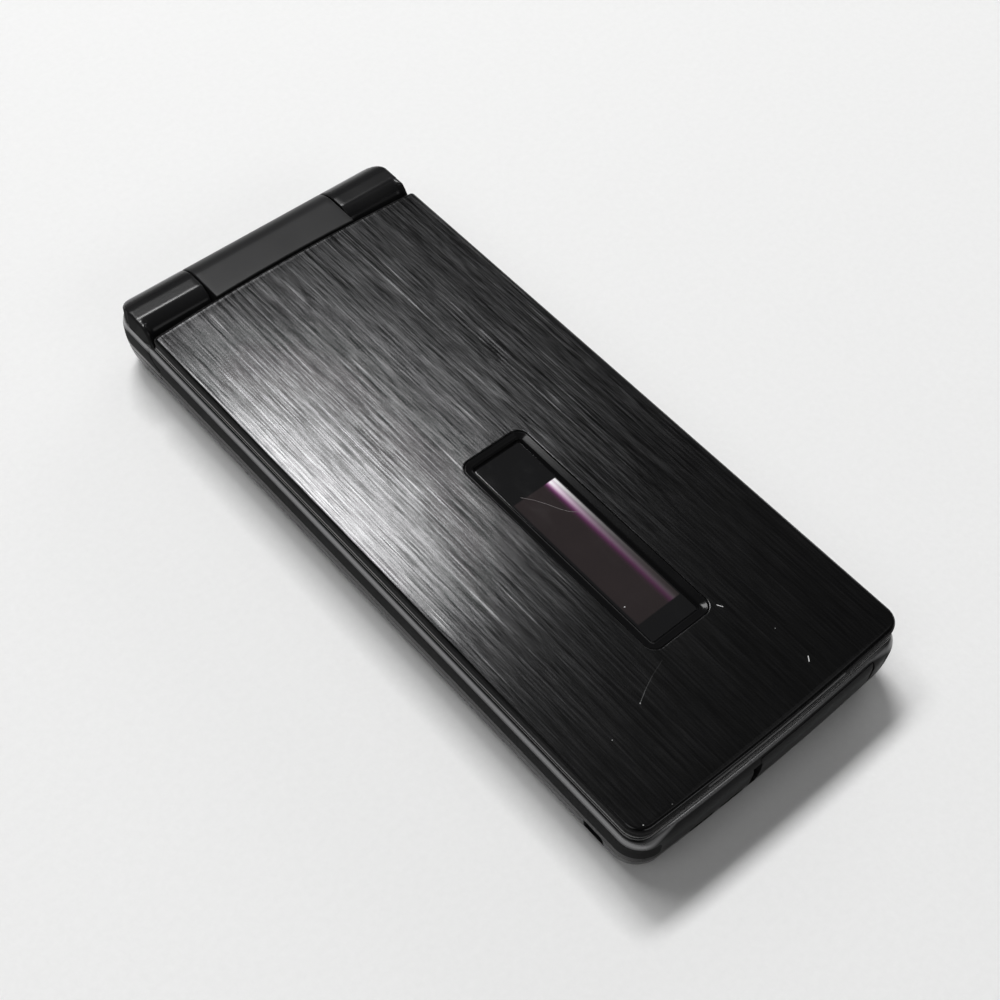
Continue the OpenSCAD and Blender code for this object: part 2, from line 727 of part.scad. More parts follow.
module main_display() {
    color([0.1, 0.1, 0.13]) translate([0, main_y, 0]) slab(pad(main_w, main_l, 0.6), main_z, main_z + main_t);
}

module main_display_lens() {
    color([0.03, 0.03, 0.04]) translate([0, main_lens_y])
        slab(pad(main_lens_w - 2 * snug, main_lens_l - 2 * snug, 1), main_lens_z, main_lens_z + main_lens_t);
}

module earpiece() {
    color([0.25, 0.25, 0.27]) translate(ear_at)
        slab(pad(ear_w, ear_d, 1), band_z + snug, band_z + snug + ear_t);
}

module earpiece_grille() {
    color([0.5, 0.5, 0.52]) translate(ear_at) difference() {
        slab(pad(grille_w - 2 * snug, grille_d - 2 * snug, grille_d / 2 - 0.1),
             lid_z + snug, lid_z + snug + grille_t);
        for (i = [-3:3]) translate([i * grille_pitch, 0, lid_z - 1]) cylinder(r = 0.25, h = 3, $fn = 16);
    }
}

module lid_magnet() {
    color([0.6, 0.6, 0.6]) translate(magnet_at)
        slab(pad(magnet_w, magnet_d, 0.2), band_z + snug, band_z + snug + magnet_t);
}

// Cross recess cut up into a screw head whose underside is at height 0
module cross_slot() {
    box([-0.7, -0.15, -1], [0.7, 0.15, 0.15]);
    box([-0.15, -0.7, -1], [0.15, 0.7, 0.15]);
}

// Screw standing head down, its head's bearing face at height 0
module screw(length) {
    difference() {
        union() {
            translate([0, 0, -head_h - rest_gap]) cylinder(r = head_r, h = head_h);
            translate([0, 0, -0.1]) cylinder(r = screw_r, h = length + 0.1);
        }
        translate([0, 0, -head_h - rest_gap]) cross_slot();
    }
}

module lid_screws() {
    seat = band_z + boss_h - cap_t;
    color([0.55, 0.55, 0.57]) for (p = lid_screws_at)
        translate([p[0], p[1], seat]) screw(lid_frame_top - seat - 0.2);
}

module lid_screw_caps() {
    color([0.15, 0.15, 0.16]) for (p = lid_screws_at)
        translate([p[0], p[1], main_lens_z]) cylinder(r = head_r, h = cap_t);
}

module lid_bumpers() {
    color([0.2, 0.2, 0.21]) for (p = bumper_at) translate(p)
        slab(pad(bumper_w - 2 * snug, bumper_d - 2 * snug, 0.45), base_h + 0.03, lid_z + bumper_in - 0.03);
}

// ---------- Hinge ----------

// Space for the flex ribbon between the bore and the lid
module flex_space() {
    riser_y = hinge_y - flex_r;
    x0 = flex_x0 - 0.2;
    x1 = flex_x0 + flex_w + 0.2;
    box([x0, riser_y - 0.25, hinge_z], [x1, riser_y + 0.35, flex_z + 0.3]);
    box([x0, tongue_y - 1, flex_z - 0.15], [x1, riser_y + 0.35, flex_z + 0.3]);
}

// Key on top of the cartridge, grown by gap
module can_key(gap = 0) {
    box([knuckle_0 + 0.3 - gap, hinge_y - can_key_w / 2 - gap, hinge_z],
        [knuckle_0 + can_key_l + gap, hinge_y + can_key_w / 2 + gap, hinge_z + can_r + can_key_h + gap]);
}

module hinge_knuckle() {
    color([0.36, 0.36, 0.37]) difference() {
        union() {
            axle(hinge_r, knuckle_0, knuckle_1);
            box([knuckle_0, lid_end + snug, lid_z + 0.25], [knuckle_1, hinge_y, body_h]);
            box([knuckle_0 + tongue_in, tongue_y, tongue_z],
                [knuckle_1 - tongue_in, lid_end + 1, tongue_z + tongue_t]);
        }
        axle(can_r + snug, knuckle_0 - 1, knuckle_0 + can_l + snug);
        can_key(snug);
        translate([-0.5, 0, 0]) can_key(snug);
        axle(bush_r + run_fit, bore_end, knuckle_1 + 1);
        flex_space();
        for (p = lid_screws_at) translate([p[0], p[1], lid_z]) cylinder(r = screw_r + 0.08, h = lid_h - 0.5);
    }
}

module hinge_can() {
    color([0.62, 0.62, 0.64]) difference() {
        union() {
            axle(can_r, knuckle_0 + 0.1, knuckle_0 + can_l);
            can_key();
        }
        axle(shaft_r + run_fit, knuckle_0 - 1, knuckle_0 + shaft_in + 0.3);
    }
}

module hinge_shaft() {
    color([0.75, 0.75, 0.76]) {
        axle(shaft_r, ear_l - 0.3, knuckle_0 + shaft_in);
        axle(hex_r, ear_l - hex_l, ear_l - 0.2, 6);
    }
}

module hinge_bush() {
    color([0.7, 0.7, 0.68]) difference() {
        axle(bush_r, knuckle_1 - bush_in, post_end);
        axle(bush_r - bush_wall, knuckle_1 - bush_in - 1, post_end + 1);
    }
}

module hinge_flex() {
    color([0.75, 0.45, 0.15]) {
        difference() {
            axle(flex_r, flex_x0, post_end - 1);
            axle(flex_r - flex_t, flex_x0 - 1, post_end);
        }
        for (low = [[flex_x0, hinge_y - flex_r, hinge_z], [flex_x0, tongue_y, flex_z]])
            box(low, [flex_x0 + flex_w, hinge_y - flex_r + flex_t, flex_z + flex_t]);
    }
}

// ---------- Base ----------

// Side view of a corner cap: the barrel, what joins it to the rear case, and with a foot the cheek
module cap_side(gap = 0, foot = false) {
    circle(r = hinge_r + gap, $fn = 64);
    translate([-hinge_r - gap, seam_h - hinge_z - gap]) square([2 * hinge_r + gap, hinge_z - seam_h + gap]);
    if (foot) difference() {
        translate([-hinge_r - cheek_front - gap, seam_h - hinge_z - gap])
            square([hinge_r + cheek_front, cheek_front + cheek_rise + gap]);
        translate([-hinge_r - cheek_front - gap, seam_h - hinge_z + cheek_front + cheek_rise + gap])
            circle(r = cheek_front, $fn = 48);
    }
}

// Both corner caps' outside, between x0 and x1 from the middle
module cap_bar(x0, x1, gap = 0, foot = false) {
    translate([x0, hinge_y, hinge_z]) rotate([90, 0, 90]) linear_extrude(x1 - x0) cap_side(gap, foot);
}

// Post and arm that carry a corner cap, from x0 to x1
module post(x0, x1, gap = 0) {
    axle(post_r + gap, x0 - gap, x1 + gap);
    box([x0 + arm_w - gap, inner_hinge - 0.1, seam_h + 0.8 - gap],
        [x1 - arm_w + gap, hinge_y, deck_z + gap]);
}

module hinge_cap(x0, x1, post_0, post_1) {
    difference() {
        intersection() {
            loft([for (z = concat(steps(seam_h + 0.02, hinge_z, 3),
                                  steps(body_h - cap_round, body_h - 0.001, 5))) [z, base_plan(z, true)]]);
            union() {
                cap_bar(x0, x1);
                if (x0 < 0) cap_bar(x0, -cheek_in, 0, true);
                else cap_bar(cheek_in, x1, 0, true);
            }
        }
        post(post_0, post_1, snug);
        axle(bush_r + 0.2, x0 < 0 ? post_0 : x0 - 1, x0 < 0 ? x1 + 1 : post_1);
    }
}

module left_hinge_cap() {
    color([0.1, 0.1, 0.105]) hinge_cap(-side_x, ear_l, -post_end, ear_l - cap_end);
}

module right_hinge_cap() {
    color([0.1, 0.1, 0.105]) hinge_cap(ear_r, side_x, ear_r + cap_end, post_end);
}

module key_hole(k) {
    translate(k[1]) slab(pad(k[2] + 2 * key_gap, k[3] + 2 * key_gap, key_r + key_gap), deck_z - 0.5, base_h);
}

// The port cover's outline in plan, or its recess where gap is not 0, open for the swing
module port_outline(gap) {
    translate([port_left - gap, tip_y - 1]) square([port_pivot_x - port_left + gap, port_t + 1 + gap]);
    translate([port_pivot_x, port_pivot_y]) circle(r = port_pivot_in + gap, $fn = 40);
    if (gap > 0) translate([port_pivot_x, tip_y - 1]) square([port_pivot_in + gap, port_pivot_y - tip_y + 1]);
}

module charge_slots() {
    for (x = contacts_at) box([x - contact_w / 2, tip_y - 1, contact_top - contact_h],
                              [x + contact_w / 2, tip_y + contact_deep, contact_top]);
}

module base_frame() {
    color([0.09, 0.09, 0.095]) difference() {
        union() {
            difference() {
                base_hull(concat(steps(seam_h + 0.02, hinge_z, 3), steps(hinge_z + 0.4, base_h, 4)));
                box([ear_l, deck_end, 0], [ear_r, body_l, body_h]);
                box([-side_x, hinge_y, 0], [side_x, body_l, body_h]);
                cap_bar(-side_x - 1, ear_l + snug, snug);
                cap_bar(ear_r - snug, side_x + 1, snug);
                box([-inner_x, inner_tip, 0], [inner_x, inner_hinge, deck_z]);
                cap_bar(-side_x - 1, -cheek_in + snug, snug, true);
                cap_bar(cheek_in - snug, side_x + 1, snug, true);
            }
            for (p = base_screws_at) translate([p[0], p[1], seam_h + snug])
                cylinder(r = boss_r, h = deck_z - seam_h);
            post(-post_end, ear_l - cap_end);
            post(ear_r + cap_end, post_end);
            box([-inner_x - 0.2, strap_y - 2 * strap_bar_r - 0.6, seam_h + 0.02],
                [strap_bar_x + strap_bar_r + 0.7, strap_y + 2 * strap_bar_r + 0.6,
                 seam_h + strap_socket + 0.4]);
        }
        slab(plan(well_x, well_y0, well_y1, well_r, well_r), well_z, body_h);
        for (k = KEYS) key_hole(k);
        translate([0, nav_y, deck_z - 0.5]) cylinder(r = nav_r + key_gap, h = deck_t + 2);
        for (p = base_screws_at) translate([p[0], p[1], 0]) cylinder(r = screw_r + 0.02, h = screw_top + 0.1);
        axle(hex_r + run_fit, ear_l - hex_l - 0.1, ear_l + 1, 6);
        axle(bush_r + 0.02, ear_r - 1, post_end + 1);
        translate([0, 0, port_z - 1]) linear_extrude(port_top + port_gap - port_z + 1) port_outline(port_gap);
        translate([port_pivot_x, port_pivot_y, port_top - 1])
            cylinder(r = port_pin_r + run_fit, h = port_pin_l + snug + 1);
        box([port_left - notch_w, tip_y - 1, seam_h - notch_low],
            [port_left + eps, tip_y + notch_d, port_top - notch_under]);
        box([io_x - io_w / 2 - 0.15, tip_y, io_z - 0.15],
            [io_x + io_w / 2 + 0.15, inner_tip + 1, io_z + io_h + 0.15]);
        charge_slots();
        translate([strap_bar_x, strap_y, 0]) cylinder(r = strap_bar_r + 0.02, h = seam_h + strap_socket + snug);
        translate([inner_x - 1, side_key_y, side_key_z]) rotate([90, 0, 90])
            slab(pad(side_key_l + 2 * key_gap, side_key_h + 2 * key_gap, side_key_h / 2), 0, side_wall + 2);
        translate([mic_at[0], mic_at[1], deck_z - 1]) cylinder(r = 0.5, h = 3, $fn = 24);
    }
}

// Space that the battery cover and its tongues slide in
module cover_space() {
    box([-cover_w / 2 - cover_gap, tip_y - 1, -1], [cover_w / 2 + cover_gap, cover_end + cover_gap, floor_z]);
    for (y = hooks_at, s = [-1, 1]) translate([s * cover_w / 2, y, 0]) {
        box([-hook_w - cover_gap, -cover_travel - cover_gap, hook_z - 0.1],
            [hook_w + cover_gap, hook_l + cover_gap, floor_z]);
        box([-hook_w - cover_gap, -cover_travel - cover_gap, -1],
            [hook_w + cover_gap, hook_l - cover_travel + cover_gap, floor_z]);
    }
}

module rear_case() {
    color([0.15, 0.15, 0.155]) difference() {
        union() {
            difference() {
                base_hull(concat([0, 0.3, 0.7, 1.3], steps(2, seam_h, 3)));
                box([-inner_x, inner_tip, inside_z], [inner_x, inner_hinge, body_h]);
                box([ear_l, deck_end, cradle_z], [ear_r, body_l, body_h]);
            }
            box([-bay_x - bay_wall, bay_y0 - bay_wall, floor_z],
                [bay_x + bay_wall, bay_y1 + bay_wall, bay_z + bay_roof]);
            for (p = base_screws_at) translate([p[0], p[1], floor_z])
                cylinder(r = boss_r, h = seam_h - floor_z);
            box([-inner_x - 0.2, strap_y - strap_l / 2 - strap_wall, floor_z],
                [-side_x + strap_d + strap_wall, strap_y + strap_l / 2 + strap_wall, seam_h]);
        }
        post(-post_end, ear_l - cap_end, snug);
        post(ear_r + cap_end, post_end, snug);
        box([-bay_x, bay_y0, -1], [bay_x, bay_y1, bay_z]);
        box([-block_w / 2 - snug, bay_y1 - 0.5, block_z - snug],
            [block_w / 2 + snug, bay_y1 + bay_wall + 1, bay_z]);
        cover_space();
        for (p = base_screws_at) translate([p[0], p[1], -1]) {
            cylinder(r = screw_r + 0.08, h = seam_h + 2);
            cylinder(r = head_r + snug, h = head_z + 1);
        }
        box([-side_x - 1, strap_y - strap_l / 2, strap_z],
            [-side_x + strap_d, strap_y + strap_l / 2, strap_z + strap_h]);
        translate([strap_bar_x, strap_y, strap_z - 0.5]) cylinder(r = strap_bar_r + 0.02, h = seam_h);
        charge_slots();
        box([port_left - notch_w, tip_y - 1, seam_h - notch_low],
            [port_left + eps, tip_y + notch_d, seam_h + 1]);
        translate([port_pivot_x, port_pivot_y, seam_h - port_pin_l]) cylinder(r = port_pin_r + run_fit, h = 1);
        translate([camera_at[0], camera_at[1], -1]) {
            cylinder(r = camera_r + snug, h = camera_t + snug + 1);
            cylinder(r = barrel_r + 2 * snug, h = inside_z + 2);
        }
        for (i = [-2:2]) translate([speaker_at[0] + i * slot_pitch, speaker_at[1], -1])
            slab(pad(slot_w, slot_l * (1 - 0.15 * abs(i)), slot_w / 2 - 0.05), 0, inside_z + 2);
    }
}

module battery_cover() {
    color([0.14, 0.14, 0.145]) {
        intersection() {
            base_hull([0, 0.3, 0.7, cover_t]);
            box([-cover_w / 2, tip_y - 1, -1], [cover_w / 2, cover_end, cover_t + 1]);
        }
        for (y = hooks_at, s = [-1, 1]) translate([s * cover_w / 2, y, 0])
            box([-hook_w, 0, hook_z], [hook_w, hook_l, cover_t]);
    }
}

module battery() {
    color([0.3, 0.32, 0.36]) translate([0, battery_y])
        slab(pad(battery_w, battery_l, 1), battery_z, battery_z + battery_t);
}

module battery_contacts() {
    color([0.8, 0.65, 0.3]) {
        box([-block_w / 2, bay_y1 + 0.2, block_z], [block_w / 2, bay_y1 + block_d, bay_z - 0.1]);
        for (i = [-1:1]) translate([i * 0.3 * block_w, bay_y1, block_z])
            box([-0.4, 0.03 - battery_gap, 0.8], [0.4, 0.5, 1.8]);
    }
}

module main_board() {
    color([0.05, 0.3, 0.15]) difference() {
        slab(plan(inner_x - board_in, inner_tip + 0.4, inner_hinge - 0.7, 2, 2), board_z, board_z + board_t);
        for (p = base_screws_at) translate([p[0], p[1], board_z - 1])
            cylinder(r = boss_r + 0.25, h = board_t + 2);
        box([io_x - io_w / 2 - 0.2, inner_tip - 1, board_z - 1],
            [io_x + io_w / 2 + 0.2, io_y + io_l + 0.2, board_z + board_t + 1]);
    }
}

module shield_cans() {
    color([0.7, 0.7, 0.7]) for (s = shields)
        translate([s[0][0], s[0][1], board_z - snug - shield_t]) cube([s[1][0], s[1][1], shield_t]);
}

module keypad_sheet() {
    color([0.8, 0.8, 0.78])
        slab(plan(inner_x - board_in, well_y0, well_y1, well_r, well_r), sheet_z, sheet_z + sheet_t);
}

module io_connector() {
    color([0.7, 0.7, 0.72]) translate([io_x, 0, io_z]) {
        difference() {
            box([-io_w / 2, io_y, 0], [io_w / 2, io_y + io_l, io_h]);
            box([-io_w / 2 + io_wall, io_y - 1, io_wall],
                [io_w / 2 - io_wall, io_y + io_l - 0.6, io_h - io_wall]);
        }
        box([-io_w / 2 + 1.5, io_y + 0.8, io_h / 2 - 0.3], [io_w / 2 - 1.5, io_y + io_l - 0.3, io_h / 2 + 0.3]);
    }
}

module port_cover() {
    color([0.1, 0.1, 0.105]) {
        intersection() {
            base_hull(concat(steps(port_z, hinge_z, 3), steps(hinge_z + 0.4, port_top, 3)));
            translate([0, 0, port_z]) linear_extrude(port_top - port_z) port_outline(0);
        }
        translate([port_pivot_x, port_pivot_y, seam_h - port_pin_l + snug])
            cylinder(r = port_pin_r, h = port_top - seam_h + 2 * port_pin_l - snug);
    }
}

module charge_contacts() {
    color([0.85, 0.68, 0.3]) for (x = contacts_at)
        box([x - contact_w / 2 + snug, tip_y + contact_deep - contact_t - snug, contact_top - contact_h + snug],
            [x + contact_w / 2 - snug, tip_y + contact_deep - snug, contact_top - snug]);
}

module strap_bar() {
    color([0.5, 0.5, 0.52]) translate([strap_bar_x, strap_y, strap_z - 0.45])
        cylinder(r = strap_bar_r, h = seam_h + strap_socket - strap_z + 0.45);
}

module camera_module() {
    top = board_z - 0.3;
    color([0.15, 0.15, 0.16]) translate([camera_at[0], camera_at[1]]) difference() {
        union() {
            box([-camera_w / 2, -camera_w / 2, inside_z + snug], [camera_w / 2, camera_w / 2, top]);
            translate([0, 0, camera_t + 0.2]) cylinder(r = barrel_r, h = inside_z);
        }
        translate([0, 0, -1]) cylinder(r = 1.2, h = camera_t + 1.6);
    }
}

module camera_window() {
    color([0.02, 0.02, 0.03]) translate([camera_at[0], camera_at[1], 0.02])
        cylinder(r = camera_r, h = camera_t);
}

module loudspeaker() {
    color([0.3, 0.3, 0.3]) translate([speaker_at[0], speaker_at[1], inside_z + snug]) {
        cylinder(r = speaker_r, h = speaker_t * 0.7);
        cylinder(r = speaker_r * 0.6, h = speaker_t);
    }
}

module vibration_motor() {
    color([0.65, 0.65, 0.66]) translate([motor_at[0], motor_at[1] + motor_l / 2, motor_z]) rotate([90, 0, 0]) {
        cylinder(r = motor_r, h = motor_l * 0.7);
        cylinder(r = motor_r * 0.35, h = motor_l);
        translate([0, 0, motor_l * 0.75]) cylinder(r = motor_r * 0.9, h = motor_l * 0.25);
    }
}

module microphone() {
    color([0.6, 0.6, 0.6]) translate([mic_at[0], mic_at[1], sheet_z]) cylinder(r = mic_r, h = mic_h);
}

module base_screws() {
    color([0.5, 0.5, 0.52]) for (p = base_screws_at)
        translate([p[0], p[1], head_z]) screw(screw_top - head_z);
}

// ---------- Keys ----------

module rect_key(k) {
    color([0.12, 0.12, 0.125]) translate(k[1]) {
        slab(pad(k[2], k[3], key_r), flange_z, key_top);
        slab(pad(k[2] + 2 * key_lip, k[3] + 2 * key_lip, key_r), flange_z, deck_z - rest_gap);
    }
}

module nav_ring() {
    color([0.4, 0.4, 0.41]) translate([0, nav_y, 0]) difference() {
        union() {
            translate([0, 0, flange_z]) cylinder(r = nav_r, h = key_top - flange_z);
            translate([0, 0, flange_z]) cylinder(r = nav_r + key_lip, h = deck_z - rest_gap - flange_z);
        }
        translate([0, 0, flange_z - 1]) cylinder(r = ring_in, h = body_h);
    }
}

module centre_key() {
    color([0.2, 0.2, 0.21]) translate([0, nav_y, flange_z]) cylinder(r = centre_r, h = key_top - flange_z);
}

module side_key() {
    back = inner_x - rest_gap - side_key_flange;
    color([0.12, 0.12, 0.125]) translate([0, side_key_y, side_key_z]) rotate([90, 0, 90]) {
        slab(pad(side_key_l, side_key_h, side_key_h / 2 - 0.05), back, side_x);
        slab(pad(side_key_l + 2 * key_lip, side_key_h + 2 * key_lip, side_key_h / 2),
             back, back + side_key_flange);
    }
}

lid_plate();
lid_frame();
hinge_knuckle();
window_bezel();
sub_display_lens();
sub_display();
lid_inner_case();
main_display();
main_display_lens();
earpiece();
earpiece_grille();
lid_screws();
lid_screw_caps();
lid_bumpers();
lid_magnet();
hinge_can();
hinge_flex();
hinge_shaft();
hinge_bush();
base_frame();
left_hinge_cap();
right_hinge_cap();
rear_case();
battery_cover();
battery();
battery_contacts();
main_board();
shield_cans();
keypad_sheet();
io_connector();
port_cover();
charge_contacts();
strap_bar();
camera_module();
camera_window();
loudspeaker();
vibration_motor();
microphone();
base_screws();
nav_ring();
centre_key();
side_key();
for (k = KEYS) rect_key(k);
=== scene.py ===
"""Slim flip phone, closed on its back: shells over the CAD solids, finishes, floor, lamps and camera."""
import math
from functools import reduce

import bpy
import bmesh
import numpy as np
from mathutils import Matrix, Vector
from mathutils.geometry import tessellate_polygon


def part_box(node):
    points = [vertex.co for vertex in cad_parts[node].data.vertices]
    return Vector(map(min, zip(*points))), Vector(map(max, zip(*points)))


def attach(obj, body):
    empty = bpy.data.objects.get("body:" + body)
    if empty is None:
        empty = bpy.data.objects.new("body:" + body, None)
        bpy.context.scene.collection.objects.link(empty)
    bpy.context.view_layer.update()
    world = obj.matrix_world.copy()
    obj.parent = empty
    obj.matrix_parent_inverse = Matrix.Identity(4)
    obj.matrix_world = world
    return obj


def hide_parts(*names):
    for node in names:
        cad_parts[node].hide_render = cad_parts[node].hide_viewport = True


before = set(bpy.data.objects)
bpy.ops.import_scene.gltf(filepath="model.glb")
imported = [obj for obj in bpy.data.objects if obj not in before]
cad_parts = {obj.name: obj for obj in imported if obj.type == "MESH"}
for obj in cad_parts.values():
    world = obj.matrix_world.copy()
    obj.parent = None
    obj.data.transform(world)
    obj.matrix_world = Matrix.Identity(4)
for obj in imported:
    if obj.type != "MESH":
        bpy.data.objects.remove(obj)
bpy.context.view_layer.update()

MM = 0.001

# ------------ sizes of the part, in millimetres
# Base: its outside, curled edges and corners, then its hollow and its heights.
SIDE, TIP, END = 25.0, -58.0, 58.0
SEAM, WIDE, DECK, TOP = 4.25, 7.8, 9.7, 12.7
BELLY, SHOULDER_SIDE, SHOULDER_TIP = 2.0, 0.45, 1.2
BASE_R, TIP_BOW = 4.1, 0.45
INNER_X, INNER_TIP, INNER_END, DECK_END = 22.8, -55.4, 46.7, 47.9
HOLLOW = [(INNER_X, INNER_TIP), (INNER_X, INNER_END), (-INNER_X, INNER_END), (-INNER_X, INNER_TIP)]
FLOOR, INSIDE, UNDER_DECK, WELL = 1.25, 1.9, 8.3, 9.1
MATT_LOW, MATT_HIGH = 5.6, 8.2
# Lid: its outline and heights, the window, and what lies in its inner side.
LID_X, LID_TIP, LID_END, LID_R, LID_BOW = 24.65, -56.9, 47.8, 2.8, 0.8
LID_HINGE_R = 0.7
LID_Z, BAND_Z, PLATE_Z, PLATE_UNDER, ROLL = 9.95, 10.45, 11.67, 12.2, 0.6
WIN_W, WIN_L, WIN_R, WIN_X, WIN_Y = 11.5, 39.3, 1.8, 0.7, -19.05
LENS_TOP = 11.85
MAIN_AT, EARPIECE_AT = (0, -2.7), (0, -50.9)
LID_SCREWS = [(-17.5, -52.3), (17.5, -52.3), (-9.2, 45.0), (10.0, 45.0)]
REST_PADS = [(-19.05, -55.0), (19.05, -55.0)]
# Hinge: its axis and barrel, the ends of the knuckle and caps, and the hollow in front of each cap.
AXIS_Y, AXIS_Z, BARREL = 53.1, 7.8, 4.9
KNUCKLE_0, KNUCKLE_1, CAP_L, CAP_R = -12.6, 13.4, -12.85, 13.65
CHEEK_Y, CHEEK_Z, CHEEK_R = 45.7, 9.2, 2.5
# Keys: the sunk field, a key's levels, the navigation ring, and the key on the right side.
WELL_X, WELL_Y0, WELL_Y1, WELL_R = 22.0, -38.5, 33.8, 3.0
KEY_FOOT, KEY_LIP, KEY_TOP, KEY_CROWN = 7.9, 8.28, 9.5, 0.09
NAV_AT, NAV_R, CENTRE_R = (0, 24.2), 9.0, 3.9
SIDE_KEY_AT = (15.7, 6.275)
# Openings: port cover, contacts, microphone, camera, loudspeaker, strap and screws.
PORT_L, PORT_R, PORT_TOP, PORT_DEPTH, PORT_END_R = -3.3, 18.0, 9.0, 1.2, 0.75
CONTACTS_X, CONTACT_W = (-15.2, -9.9), 4.3
MIC_AT, CAMERA_AT, SPEAKER_AT = (-10, -50.4), (-12, 27.9), (10.5, 30.9)
STRAP_X, STRAP_Y, STRAP_Z = -22.9, -49.45, 2.7
BASE_SCREWS = [(-19.2, 42.1), (19.2, 42.1)]
FAR_X, FAR_Y = 30, 62  # past the outside of the part, for what cuts through it

# ------------ outlines
def circle(cx, cy, r, turns):
    """Points of a circle at the given angles, in radians."""
    return [(cx + r * math.cos(t), cy + r * math.sin(t)) for t in turns]


def arc(cx, cy, r, start, stop, count):
    """Points of a circle from one angle to another, in degrees."""
    return circle(cx, cy, r, np.radians(np.linspace(start, stop, count)))


def corner(cx, cy, r, a, n):
    """Quarter circle from a degrees on."""
    return circle(cx, cy, r, [math.radians(a + 90 * i / n) for i in range(n + 1)])


def disc(r, at, n=48):
    return circle(*at, r, [2 * math.pi * i / n for i in range(n)])


def bowed(x, y, b, m):
    """Points between x and -x at height y, bowed out by b in the middle."""
    return [((1 - 2 * i / m) * x, y + b * (1 - (1 - 2 * i / m) ** 2)) for i in range(1, m)]


def moved(points, at):
    return [(x + at[0], y + at[1]) for x, y in points]


def turned(points, angle, at, size=1.0):
    """The outline at another size, turned by an angle in radians and moved to at."""
    c, s = math.cos(angle), math.sin(angle)
    return moved([(size * (x * c - y * s), size * (x * s + y * c)) for x, y in points], at)


def plan(x, y0, y1, r0, r1, b0=0.0, b1=0.0, n=10, m=16):
    """Rounded outline from y0 to y1 between -x and x, its ends bowed out by b0 and b1."""
    return (corner(x - r0, y0 + b0 + r0, r0, -90, n) + corner(x - r1, y1 - b1 - r1, r1, 0, n)
            + bowed(x - r1, y1 - b1, b1, m) + corner(-(x - r1), y1 - b1 - r1, r1, 90, n)
            + corner(-(x - r0), y0 + b0 + r0, r0, 180, n) + bowed(-(x - r0), y0 + b0, -b0, m))


def pad(w, l, r, at=(0.0, 0.0), n=10):
    """Rounded rectangle about at."""
    r = max(min(r, w / 2 - 0.01, l / 2 - 0.01), 0.02)
    return moved(plan(w / 2, -l / 2, l / 2, r, r, n=n, m=2), at)


def shrinking_pad(w, l, r, at, n=10, slope=1.0):
    """A pad as a function of its inset; its corners' radius falls by slope times the inset."""
    return lambda cut: pad(w - 2 * cut, l - 2 * cut, r - slope * cut, at, n)


def shrinking_disc(r, at, n):
    return lambda cut: disc(r - cut, at, n)


def edge(r, n=5):
    """(drop, inset) pairs round a quarter circle, from the side to the top."""
    turns = [math.pi / 2 * i / n for i in range(n + 1)]
    return [(r * (1 - math.sin(t)), r * (1 - math.cos(t))) for t in turns]


def curl(z, shoulder):
    """How far the base's outside stands back at height z: a round belly below, a shoulder above."""
    if z < WIDE:
        return BELLY * (1 - math.sqrt(max(0.0, 1 - (1 - z / WIDE) ** 2)))
    return shoulder * ((z - WIDE) / (DECK - WIDE)) ** 2


def base_plan(z, cut=0.0):
    up = max(0.0, (z - WIDE) / (DECK - WIDE))
    r = max(BASE_R - (BASE_R - LID_R) * up - cut, 0.5)
    return plan(SIDE - curl(z, SHOULDER_SIDE) - cut, TIP + curl(z, SHOULDER_TIP) + cut,
                END - curl(min(z, WIDE), 0) - cut, r, r, TIP_BOW, n=14, m=24)


def lid_plan(cut=0.0):
    tip_r, hinge_r = max(LID_R - cut, 0.4), max(LID_HINGE_R - cut, 0.25)
    return plan(LID_X - cut, LID_TIP + cut, LID_END - cut, tip_r, hinge_r, TIP_BOW, LID_BOW, 14, 24)


def window_plan(cut=0.0):
    r = max(WIN_R - cut, 0.35)
    return moved(plan(WIN_W / 2 - cut, cut - WIN_L / 2, WIN_L / 2 - cut, r, r, n=14, m=24), (WIN_X, WIN_Y))


def stack(outline, levels):
    """What Form.wall takes, from (height, size) pairs and a function that draws the outline for a size."""
    return [(z, outline(size)) for z, size in levels]


def inset(points, d):
    """The outline moved inwards by d along its normals."""
    p = np.array(points, float)
    along = np.roll(p, -1, 0) - np.roll(p, 1, 0)
    along /= np.linalg.norm(along, axis=1)[:, None] + 1e-12
    area = np.sum(p[:, 0] * np.roll(p[:, 1], -1) - np.roll(p[:, 0], -1) * p[:, 1])
    normal = np.stack([-along[:, 1], along[:, 0]], 1) * (1 if area > 0 else -1)
    return [tuple(q) for q in p + normal * d]


# ------------ mesh building
def placed(name, data):
    """A new object in the scene."""
    obj = bpy.data.objects.new(name, data)
    bpy.context.scene.collection.objects.link(obj)
    return obj


